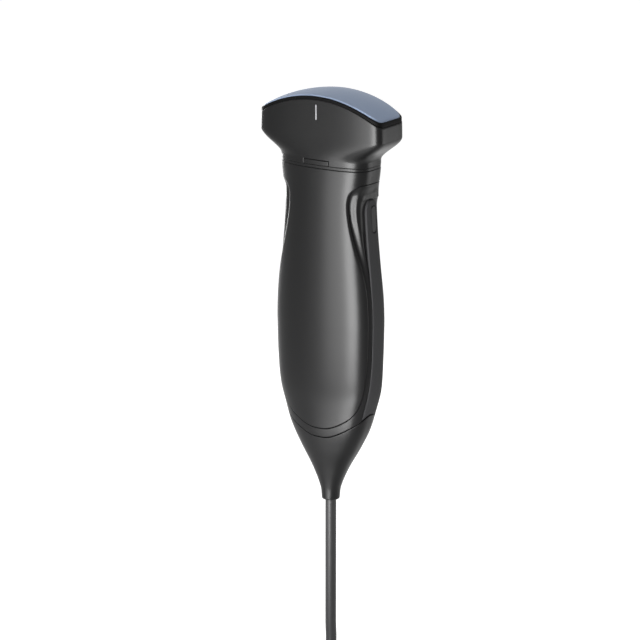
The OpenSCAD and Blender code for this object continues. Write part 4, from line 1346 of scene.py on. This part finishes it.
@dataclass
class Grip:
    """Seal, covers, side pads, scan key and boot."""

    wall: float = 2.0
    seam_edge_r: float = 0.25
    seal_h: float = 1.5
    seal_in: float = 0.12
    collar_drop: float = 8.0
    bend_drop: float = 89.5
    cover_edge_r: float = 0.32
    scoop_t: float = 1.3
    scoop_low_t: float = 0.4
    scoop_fade_drop: float = 40.0
    scoop_fade: float = 26.0
    scoop_drop: float = 11.0
    scoop_run: float = 5.0
    scoop_back: float = 26.0
    rim_w: float = 1.9
    shoulder_share: float = 0.9
    shoulder_run: float = 3.0
    pad_drop: float = 15.5
    pad_angle: float = 21.0
    pad_low_angle: float = 27.0
    pad_top_share: float = 0.3
    arch_l: float = 6.0
    pad_step: float = 0.25
    pad_edge_r: float = 0.75
    pocket_t: float = 1.7
    pocket_wall: float = 1.3
    foot_angle: float = 0.6
    pad_clear: float = 0.3
    foot_clear: float = 1.6
    edge_clear: float = 2.0
    least_valley: float = 0.8
    crease_share: float = 0.6
    even_run: float = 0.25
    edge_wall_share: float = 0.3
    window_wall_share: float = 0.8
    window_squeeze: float = 1.1
    key_l: float = 12.5
    key_w: float = 3.6
    key_drop: float = 25.2
    key_shift: float = 1.0
    key_gap: float = 0.25
    key_clear: float = 0.1
    key_rise: float = 0.2
    key_edge_r: float = 0.3
    key_edge_steps: int = 5
    key_face_start: float = 0.15
    key_face_end: float = 0.02
    key_face_rings: int = 8
    key_r: float = 13.0
    key_corners: int = 96
    stem_w: float = 2.0
    flange_t: float = 0.8
    flange_lap: float = 0.4
    slot_edge: float = 0.14
    slot_corners: int = 64
    bore_r: float = 2.72
    boot_end_r: float = 0.6
    boot_seam_run: float = 40.0

    # Columns of the pieces: facet to back are in half a rear cover, and band is the strip in front of it
    seal_columns: int = 300
    boot_columns: int = 240
    boot_pull: float = 7.0
    panel_columns: int = 71
    collar_columns: int = 95
    facet_columns: int = 10
    valley_columns: int = 16
    slope_columns: int = 14
    back_columns: int = 24
    band_columns: int = 72
    pad_columns: int = 32

    # Rows of the front cover, the rear cover and the pads, from the top down
    collar_rows: int = 10
    even_drop: float = 10.0
    pocket_lead: float = 0.1
    long_rows: int = 110
    sill_rows: int = 34
    rear_top_rows: int = 24
    window_rows: int = 14
    rear_long_rows: int = 60
    rear_low_rows: int = 24
    arch_rows: int = 28
    pad_low_rows: int = 44

    # Steps of rows or columns from an edge
    collar_steps: Tuple[float, ...] = (0.08, 0.2, 0.35, 0.55, 0.8, 1.1, 1.5)
    sill_steps: Tuple[float, ...] = (0.45, 0.3, 0.2, 0.12, 0.05, 0.0)
    pocket_steps: Tuple[float, ...] = (
        -0.02, 0.0, 0.02, 0.05, 0.1, 0.17, 0.26, 0.38, 0.55, 0.75, 1.0, 1.3, 1.7, 2.1,
    )
    pad_steps: Tuple[float, ...] = (0.0, 0.05, 0.12, 0.22, 0.35, 0.5, 0.7, 0.95)
    boot_seam_shares: Tuple[float, ...] = (
        0.01, 0.03, 0.06, 0.1, 0.2, 0.35, 0.5, 0.65, 0.8, 0.9, 0.94, 0.97, 0.99, 1,
    )

    # Angle of the recess's crease by its drop, and depth across the recess as a share of its full depth
    crease_rows: Rows = (
        (8.0, 30), (13, 33), (18, 37), (24, 37), (31, 33), (39, 29), (47.5, 24), (57, 22), (66, 20.5),
        (90, 20.5), (102, 26), (115, 28), (122, 30),
    )
    facet_shares: Rows = ((0.0, 1.0), (0.2, 1.12), (0.45, 1.06), (0.75, 0.85))
    valley_shares: Rows = ((0.0, 0.7), (0.3, 0.86), (0.7, 1.2), (1.0, 1.12))

    # Shared lines

    @property
    def sill_end(self) -> float:
        """Drop of the corners of the front cover's lower edge."""
        return FORM.panel_drop - FORM.sill_rise

    @property
    def window(self) -> Tuple[float, float]:
        """Drops between which the key's window in the rear cover lies."""
        half = self.key_l / 2 + 2 * self.flange_lap + self.key_gap
        return self.key_drop - half, self.key_drop + half

    def bent(self, drop: Values, bottom: Array, level_bottom: float) -> Array:
        """Drop of a row that bends to a lower edge."""
        share = (drop - self.bend_drop) / (level_bottom - self.bend_drop)
        return np.where(drop < self.bend_drop, drop, self.bend_drop + share * (bottom - self.bend_drop))

    def scoop(self, z: Values) -> Array:
        """Depth of the recess beside the front cover.

        Args:
            z: Heights.

        Returns:
            The depth at each height.
        """
        drop = -np.asarray(z, float)
        return (
            mix(self.scoop_t, self.scoop_low_t, ease((drop - self.scoop_fade_drop) / self.scoop_fade))
            * ease((drop - self.scoop_drop + self.scoop_run / 2) / self.scoop_run)
            * (1 - ease((drop - self.bend_drop) / (self.sill_end - self.bend_drop)))
        )

    def pad_half(self, z: Values) -> Array:
        """Half angle of a side pad with its arched top.

        Args:
            z: Heights.

        Returns:
            The half angle at each height.
        """
        drop = -np.asarray(z, float)
        t = np.clip((drop - self.pad_drop) / self.arch_l, 0, 1)
        low = ease((drop - self.bend_drop) / (FORM.boot_side_drop - self.bend_drop))
        arched = mix(self.pad_top_share, 1.0, np.sqrt(1 - (1 - t) ** 2))
        return mix(self.pad_angle, self.pad_low_angle, low) * arched

    # Pieces

    def seal(self) -> None:
        """Builds the ring between nose and handle."""
        phi = corner_columns(self.seal_columns)[None, :]
        z = spread(0.0, -self.seal_h, 2, FINE[:4])[:, None]
        inset = self.seal_in + roll(np.minimum(-z, z + self.seal_h), self.seam_edge_r)
        shape = Shape()
        shape.skin(FORM.at(z, phi, inset), FORM.at(z, phi, self.wall), True)
        fit(shape.build("seal"), RING, "seal_rubber", "neck_seal")

    def front(self) -> None:
        """Builds the front cover: the collar and the long panel in one piece."""
        low = self.sill_end
        drops = distinct([
            spread(self.seal_h, self.collar_drop, self.collar_rows, FINE),
            self.collar_drop + np.array(self.collar_steps),
            np.linspace(self.even_drop, self.bend_drop, self.long_rows),
            spread(self.bend_drop, low, self.sill_rows)[1:-1],
            low - np.array(self.sill_steps),
        ])
        z = -drops[:, None]
        edge = FORM.edge(z)
        near = edge + np.array(WIDE)[None, :] * FORM.degrees(1.0, z, edge)
        middle = mix(near[:, -1:], 180 - near[:, -1:], between(self.panel_columns))
        panel = np.concatenate([near, middle, 180 - near[:, ::-1]], 1)
        back = mix(180 - edge, 360 + edge, between(self.collar_columns))
        phi = np.concatenate([panel, back], 1)
        count = panel.shape[1]
        drop = np.repeat(drops[:, None], phi.shape[1], 1)
        drop[:, :count] = self.bent(drops[:, None], FORM.sill(phi[-1, :count])[None, :], low)
        bare = FORM.at(-drop, phi)
        collar_row = int(np.argmin(np.abs(drops - self.collar_drop)))
        sides = [bare[collar_row:, 0], bare[collar_row:, count - 1]]
        ends = [
            np.concatenate([bare[0], bare[0][:1]]),
            np.concatenate([bare[collar_row, count - 1:], bare[collar_row, :1]]),
            bare[-1, :count],
        ]
        depth = np.maximum(self.scoop(-drop), self.cover_edge_r)
        width = mix(self.cover_edge_r, self.rim_w, np.clip(self.scoop(-drop) / self.scoop_t, 0, 1))
        rim = roll(border_distance(bare, sides), width) * depth / width
        inset = np.maximum(roll(border_distance(bare, ends), self.cover_edge_r), rim)
        shape = Shape()
        inner = FORM.at(-drop, phi, self.wall)
        shape.skin(FORM.at(-drop, phi, inset), inner, True, lambda k, i: k < collar_row or i < count - 1)
        fit(shape.build("front_panel"), HOUSING, "housing_plastic", "front_cover")

    def _crease(self, z: float, edge: float, foot: float) -> float:
        """Angle of the crease in the recess.

        Args:
            z: Height of the row.
            edge: Angle of the rear cover's edge.
            foot: Angle of the pad's foot.

        Returns:
            The angle, kept clear of both where there is room and set between them where there is none.
        """
        crease = max(float(curve(-z, self.crease_rows)), foot + self.foot_clear)
        if edge - self.edge_clear > foot + self.least_valley:
            return min(crease, edge - self.edge_clear)
        return mix(foot, edge, self.crease_share)

    def _key_angles(self, pad: float) -> List[float]:
        """Angles of the columns at the key's window, which lie deep in the pocket's floor.

        Args:
            pad: Half angle of the pad in this row.

        Returns:
            The angles of the window's front, middle and back.
        """
        half = (self.key_w + 2 * self.flange_lap + 2 * self.key_gap) / 2
        deep = self.key_r - self.pocket_t - self.window_wall_share * self.pocket_wall
        squeeze = min(1.0, self.window_squeeze * pad / self.pad_angle)
        turns = [math.degrees(-math.asin((self.key_shift + y) / deep)) for y in (-half, 0.0, half)]
        return [max(self.pad_clear - pad, turn * squeeze) for turn in turns]

    def _half(self, z: float) -> Tuple[Array, Array, Array]:
        """Half outline of the rear cover at one height.

        Args:
            z: Height of the row.

        Returns:
            Angles from the front cover's edge to the middle of the back, depths below the outline, and insets
            of the inner face.
        """
        s = float(self.scoop(z))
        edge = float(FORM.edge(z))
        edge -= float(FORM.degrees(SEAM_GAP, z, edge))
        pad = float(self.pad_half(z))
        foot = pad + self.foot_angle
        back = -foot - self.scoop_back
        crease = self._crease(z, edge, foot)

        # Columns from the front to the back
        per = float(FORM.degrees(1.0, z, edge))
        valley_t = up_to_one(self.valley_columns)
        slope_t, rest_t = up_to_one(self.slope_columns), up_to_one(self.back_columns)
        facet = [edge - d * per for d in WIDE[:4]]
        facet += list(np.linspace(facet[-1], crease, self.facet_columns + 1))[1:]
        valley = [mix(crease, foot, t) for t in valley_t]
        pocket = [pad, *self._key_angles(pad), -pad]
        angles = facet + valley + pocket + [-foot] + [mix(-foot, back, t) for t in slope_t]
        angles += [mix(back, -90.0, t) for t in rest_t]

        # Their depths, evened out above the pad
        rows = [(-mix(edge, crease, t), share) for t, share in self.facet_shares]
        rows += [(-mix(crease, foot, t), share) for t, share in self.valley_shares]
        above = 1 - float(ease((-z - self.pad_drop + self.shoulder_run) / self.shoulder_run))
        first_share, last_share = self.valley_shares[0][1], self.valley_shares[-1][1]
        level = [mix(first_share, self.shoulder_share, ease(t / self.even_run)) for t in valley_t]
        foot_depth = s * mix(last_share, self.shoulder_share, above)
        floor = self.pocket_t if -z >= self.pad_drop else foot_depth
        depths = [s * float(curve(-p, rows)) for p in facet]
        depths += [s * mix(float(curve(-p, rows)), even, above) for p, even in zip(valley, level)]
        depths += [floor] * len(pocket) + [foot_depth] + [foot_depth * (1 - float(ease(t))) for t in slope_t]
        depths += [0.0] * len(rest_t)

        # Their inner face
        thick = self.pocket_t + self.pocket_wall
        at_edge = mix(self.wall, thick, self.edge_wall_share)
        inner = list(np.linspace(at_edge, thick, len(facet) + len(valley)))
        inner += [thick] * (len(pocket) + 1) + list(np.linspace(thick, self.wall, len(slope_t)))
        inner += [self.wall] * len(rest_t)
        return np.array(angles), np.array(depths), np.array(inner)

    def _ring(self, z: float) -> Tuple[Array, Array, Array]:
        """One whole row of the rear cover: left side, back, right side and the band in front.

        Args:
            z: Height that sets the angles.

        Returns:
            Angles, depths below the outline, and insets of the inner face.
        """
        a, d, t = self._half(z)
        front = mix(360 + a[0], 540 - a[0], between(self.band_columns))
        return (
            np.concatenate([180 - a, 360 + a[-2::-1], front]),
            np.concatenate([d, d[-2::-1], np.zeros(len(front))]),
            np.concatenate([t, t[-2::-1], np.full(len(front), self.wall)]),
        )

    def _rear_rows(self, close: float, end: float) -> Tuple[Array, int]:
        """Rows of the rear cover, closer at its edges and at the pad's top.

        Args:
            close: Drop below which the front is closed by the band.
            end: Drop of the lower edge at the sides.

        Returns:
            Their drops, and the number of the row at close.
        """
        upper = distinct([
            spread(
                self.collar_drop + SEAM_GAP, self.pad_drop - self.pocket_lead, self.rear_top_rows, FINE[:4]
            ),
            self.pad_drop + np.array(self.pocket_steps),
            np.linspace(*self.window, self.window_rows),
            np.linspace(self.window[1], self.bend_drop, self.rear_long_rows),
            np.linspace(self.bend_drop, close, self.rear_low_rows),
        ])
        lower = close + (end - close) * np.array(self.boot_seam_shares)
        return np.concatenate([upper, lower]), len(upper) - 1

    def rear(self) -> None:
        """Builds the rear cover with its recesses, pockets and the band under the front panel."""
        end = FORM.boot_side_drop - SEAM_GAP
        corner_end = float(FORM.boot_top(np.array(FORM.edge_shares[-1][1]))) - SEAM_GAP
        panel_l, side_l = self.sill_end + SEAM_GAP - self.bend_drop, end - self.bend_drop
        close = self.bend_drop + panel_l * side_l / (corner_end - self.bend_drop)
        drops, close_row = self._rear_rows(close, end)
        low = self._ring(-self.sill_end)
        cols = len(low[0])
        side = cols - self.band_columns
        bottom, sill = FORM.boot_top(low[0]) - SEAM_GAP, FORM.sill(low[0]) + SEAM_GAP
        height, phi, depth, thick = np.zeros((4, len(drops), cols))
        for k, drop in enumerate(drops):
            share = max(0.0, (drop - close) / (end - close))
            level = self.bent(np.full(cols, drop), bottom, end)
            height[k] = -np.where(np.arange(cols) >= side, mix(sill, bottom, share), level)
            if drop < self.bend_drop:
                phi[k], depth[k], thick[k] = self._ring(-drop)
                continue
            phi[k], depth[k], thick[k] = low[0], 0.0, self.wall
            for z in np.unique(height[k, :side]):
                same = np.flatnonzero(height[k, :side] == z)
                phi[k, same], depth[k, same], thick[k, same] = (values[same] for values in self._ring(z))
        bare = FORM.at(height, phi)
        borders = [
            bare[0, :side],
            np.concatenate([bare[-1], bare[-1][:1]]),
            np.concatenate([bare[close_row, side - 1:], bare[close_row, :1]]),
        ]
        inset = depth + roll(border_distance(bare, borders), self.seam_edge_r)
        # The window spans the three columns after the pad's edge, counted from the far end
        pad_column = len(WIDE[:4]) + self.facet_columns + self.valley_columns
        first = side - 1 - (pad_column + 3)
        top, foot = self.window

        def keep(k: int, i: int) -> bool:
            """Leaves the front and the key's window open.

            Args:
                k: Row of the cell.
                i: Column of the cell.

            Returns:
                Whether the cell exists.
            """
            if i >= side - 1 and k < close_row:
                return False
            return not (first <= i < first + 2 and top < (drops[k] + drops[k + 1]) / 2 < foot)

        shape = Shape()
        shape.skin(FORM.at(height, phi, inset), FORM.at(height, phi, thick), True, keep)
        fit(shape.build("rear_shell"), HOUSING, "housing_plastic", "rear_cover")

    def _pad_angles(self, z: Array) -> Array:
        """Angles of a pad's columns.

        Args:
            z: Heights of the rows, along the first axis.

        Returns:
            The angles, rows by columns.
        """
        half = self.pad_half(z + SEAM_GAP) - FORM.degrees(SEAM_GAP, z, self.pad_half(z))
        steps = np.array(self.pad_steps) * FORM.degrees(1.0, z, half)
        near = half - np.minimum(steps, half * np.linspace(0, 0.9, len(self.pad_steps)))
        middle = mix(near[:, -1:], -near[:, -1:], between(self.pad_columns))
        return np.concatenate([near, middle, -near[:, ::-1]], 1)

    def pad(self, side: Side) -> bpy.types.Object:
        """Builds one side pad with a rounded edge and an arched top.

        Args:
            side: Side that the pad lies on.

        Returns:
            The pad before its slot is cut.
        """
        top, end = self.pad_drop + SEAM_GAP, FORM.boot_side_drop - SEAM_GAP
        drops = distinct([
            top + self.arch_l * np.linspace(0, 1, self.arch_rows) ** 2,
            np.linspace(top + self.arch_l, self.bend_drop, self.long_rows),
            spread(self.bend_drop, end, self.pad_low_rows, FINE),
        ])[:, None]
        bottom = FORM.boot_top(self._pad_angles(-drops)[-1]) - SEAM_GAP
        z = -self.bent(drops, bottom[None, :], end)
        phi = np.stack([self._pad_angles(z[:, i:i + 1])[:, i] for i in range(z.shape[1])], 1)
        turned = (0.0 if side is Side.RIGHT else 180.0) - phi
        bare = FORM.at(z, turned)
        borders = [bare[0], bare[:, 0], bare[:, -1], bare[-1]]
        inset = self.pad_step + roll(border_distance(bare, borders), self.pad_edge_r)
        shape = Shape()
        shape.skin(FORM.at(z, turned, inset), FORM.at(z, turned, self.pocket_t), False)
        return shape.build(f"side_pad_{side.name.lower()}")

    def _stadium(self, w: float, l: float, count: int) -> Array:
        """Outline with round ends about the key's middle.

        Args:
            w: Width.
            l: Length.
            count: Number of points.

        Returns:
            The points in Y and Z.
        """
        a = np.linspace(0, 2 * math.pi, count, endpoint=False)
        y, z = np.cos(a) * w / 2, np.sin(a) * w / 2
        z = z + np.where(np.sin(a) >= 0, 1, -1) * (l - w) / 2
        return np.stack([y, z], -1) + np.array([self.key_shift, -self.key_drop])

    def _surface_x(self, y: Array, z: Array) -> Array:
        """Half width of the body over a place on its right side."""
        p, q = FORM.arch(z)
        return FORM.half_w(z) * (1 - np.abs(y / FORM.half_d(z)) ** q) ** (1 / p)

    def _rim(self, work: bmesh.types.BMesh, outline: Array) -> List[bmesh.types.BMEdge]:
        """Finds the edges of the slot's rim on the face of the pad.

        Args:
            work: Mesh of the cut pad.
            outline: Outline of the slot in Y and Z.

        Returns:
            The edges.
        """
        bend, near = math.radians(50), 0.3
        rim = []
        for edge in work.edges:
            if len(edge.link_faces) != 2 or edge.calc_face_angle(0.0) < bend:
                continue
            points = np.array([v.co for v in edge.verts]) / MM
            away = np.abs(points[:, None, 1:] - outline[None]).sum(-1).min(1).max()
            face_x = self._surface_x(points[:, 1], points[:, 2]) - self.pad_step
            if away < near and (points[:, 0] > face_x - near).all():
                rim.append(edge)
        return rim

    def slot(self, pad: bpy.types.Object) -> None:
        """Cuts the key's slot through the right pad and rounds its edge.

        Args:
            pad: The right pad, which is changed.
        """
        inside_x, outside_x, weld = 15.0, 40.0, 3e-6
        cutter = Shape()
        gap = 2 * self.key_gap
        outline = self._stadium(self.key_w + gap, self.key_l + gap, self.slot_corners)
        cutter.rings([
            np.concatenate([np.full((self.slot_corners, 1), x), outline], 1) for x in (inside_x, outside_x)
        ])
        tool = cutter.build("slot_tool")
        cut = pad.modifiers.new("slot", "BOOLEAN")
        cut.operation, cut.object, cut.solver = "DIFFERENCE", tool, "EXACT"
        bpy.context.view_layer.update()
        graph = bpy.context.evaluated_depsgraph_get()
        mesh = bpy.data.meshes.new_from_object(pad.evaluated_get(graph))
        pad.modifiers.clear()
        pad.data = mesh
        bpy.data.objects.remove(tool)
        work = bmesh.new()
        work.from_mesh(mesh)
        bmesh.ops.remove_doubles(work, verts=work.verts[:], dist=weld)
        rim = self._rim(work, outline)
        bmesh.ops.bevel(work, geom=rim, offset=self.slot_edge * MM, segments=3, profile=0.5, affect="EDGES")
        finish_edges(work)
        work.to_mesh(mesh)
        work.free()

    def pads(self) -> None:
        """Builds both side pads."""
        for side in Side:
            pad = self.pad(side)
            if side is Side.RIGHT:
                self.slot(pad)
            fit(pad, PAD, "pad_rubber", f"grip_pad_{side.name.lower()}")

    def _key_ring(self, w: float, l: float, x: Values) -> Array:
        """Ring of the key at x, a number or a place for each point."""
        places = np.broadcast_to(np.asarray(x, float), (self.key_corners,))
        return np.concatenate([places[:, None], self._stadium(w, l, self.key_corners)], 1)

    def key(self) -> None:
        """Builds the scan key: flange, stem and a cap that follows the pad."""
        low, high = (np.array(c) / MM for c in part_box("scan_button"))
        flange_w, flange_l = self.key_w + 2 * self.flange_lap, self.key_l + 4 * self.flange_lap
        base = float(FORM.half_w(-self.key_drop + self.key_l / 2)) - self.pocket_t - self.key_clear
        foot, edge = base - self.flange_t, self.key_edge_r
        first, last = edge + self.key_face_start, self.key_w / 2 - self.key_face_end

        def face(inset: float, drop: float = 0.0) -> Array:
            """Ring that follows the pad's curve.

            Args:
                inset: Distance from the cap's side.
                drop: Distance below the cap's face.

            Returns:
                The points of the ring.
            """
            w, l = self.key_w - 2 * inset, self.key_l - 2 * inset
            outline = self._stadium(w, l, self.key_corners)
            x = self._surface_x(outline[:, 0], outline[:, 1]) - self.pad_step + self.key_rise
            return self._key_ring(w, l, np.minimum(x, high[0]) - drop)

        rings = [self._key_ring(self.stem_w, self.stem_w, x) for x in (low[0], foot)]
        rings += [self._key_ring(flange_w, flange_l, x) for x in (foot, base)]
        rings += [self._key_ring(self.key_w, self.key_l, base), face(0.0, edge)]
        rings += [face(inset, drop) for inset, drop in quarter_round(edge, self.key_edge_steps)]
        rings += [face(float(inset)) for inset in np.linspace(first, last, self.key_face_rings)]
        shape = Shape()
        shape.rings(rings)
        fit(shape.build("scan_key"), KEY, "key_plastic", "scan_button", body=Body.KEY)

    def boot(self) -> None:
        """Builds the tapered boot with its waved seam and end collar."""
        phi = corner_columns(self.boot_columns, self.boot_pull)[None, :]
        top = FORM.boot_top(phi) + SEAM_GAP
        seam = np.array((0.0,) + FINE) / self.boot_seam_run
        s = distinct([seam, np.linspace(0.02, 0.9, 90), np.linspace(0.905, 1.0, 30)], 5)[:, None]
        z = -mix(top, FORM.handle_l, s)
        inset = roll(s * (FORM.handle_l - top), self.seam_edge_r) + roll(FORM.handle_l + z, self.boot_end_r)
        a = np.maximum(self.bore_r, FORM.half_w(z) - self.wall)
        b = np.maximum(self.bore_r, FORM.half_d(z) - self.wall)
        bore = (a == self.bore_r) & (b == self.bore_r)
        powers = [np.where(bore, FORM.round_arch, power) for power in FORM.arch(z)]
        across, deep = unit_outline(*powers, phi)
        shape = Shape()
        shape.skin(FORM.at(z, phi, inset), np.stack([a * across, b * deep, z + 0 * a], -1), True)
        fit(shape.build("boot"), BOOT, "boot_elastomer", "cable_boot")

    def build(self) -> None:
        """Builds all of the grip."""
        self.seal()
        self.front()
        self.rear()
        self.pads()
        self.key()
        self.boot()


@dataclass
class Inside:
    """Pieces inside the housings, kept as solids and dressed."""

    finishes: Dict[str, Finish] = field(default_factory=lambda: {
        "matching_layer": MATCHING, "piezo_array": CERAMIC, "backing_block": BACKING, "array_carrier": FRAME,
        "flex_front": FILM, "flex_rear": FILM, "flex_sockets": SOCKET, "key_switch": SCREW,
        "switch_board": BOARD, "inner_frame": FRAME, "main_board": BOARD, "beamformer_chips": CHIP,
        "shield_can": SHIELD, "heat_spreader": SPREADER, "board_screws": SCREW, "cable_header": SOCKET,
        "cable_wires": WIRE, "cable_clamp": FRAME, "clamp_screws": SCREW, "crimp_ring": SHIELD,
        "cable_core": JACKET,
    })

    def build(self) -> None:
        """Dresses the solids inside."""
        for name, finish in self.finishes.items():
            dress(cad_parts[name], finish)
        LOG.info("dressed %d inner solids", len(self.finishes))


def main() -> None:
    """Builds the studio and the probe in order."""
    logging.basicConfig(level=logging.INFO, format="%(name)s: %(message)s")
    Studio().build()
    Cable().build(Plug().build())
    Head().build()
    Grip().build()
    Inside().build()


if __name__ == "__main__":
    main()
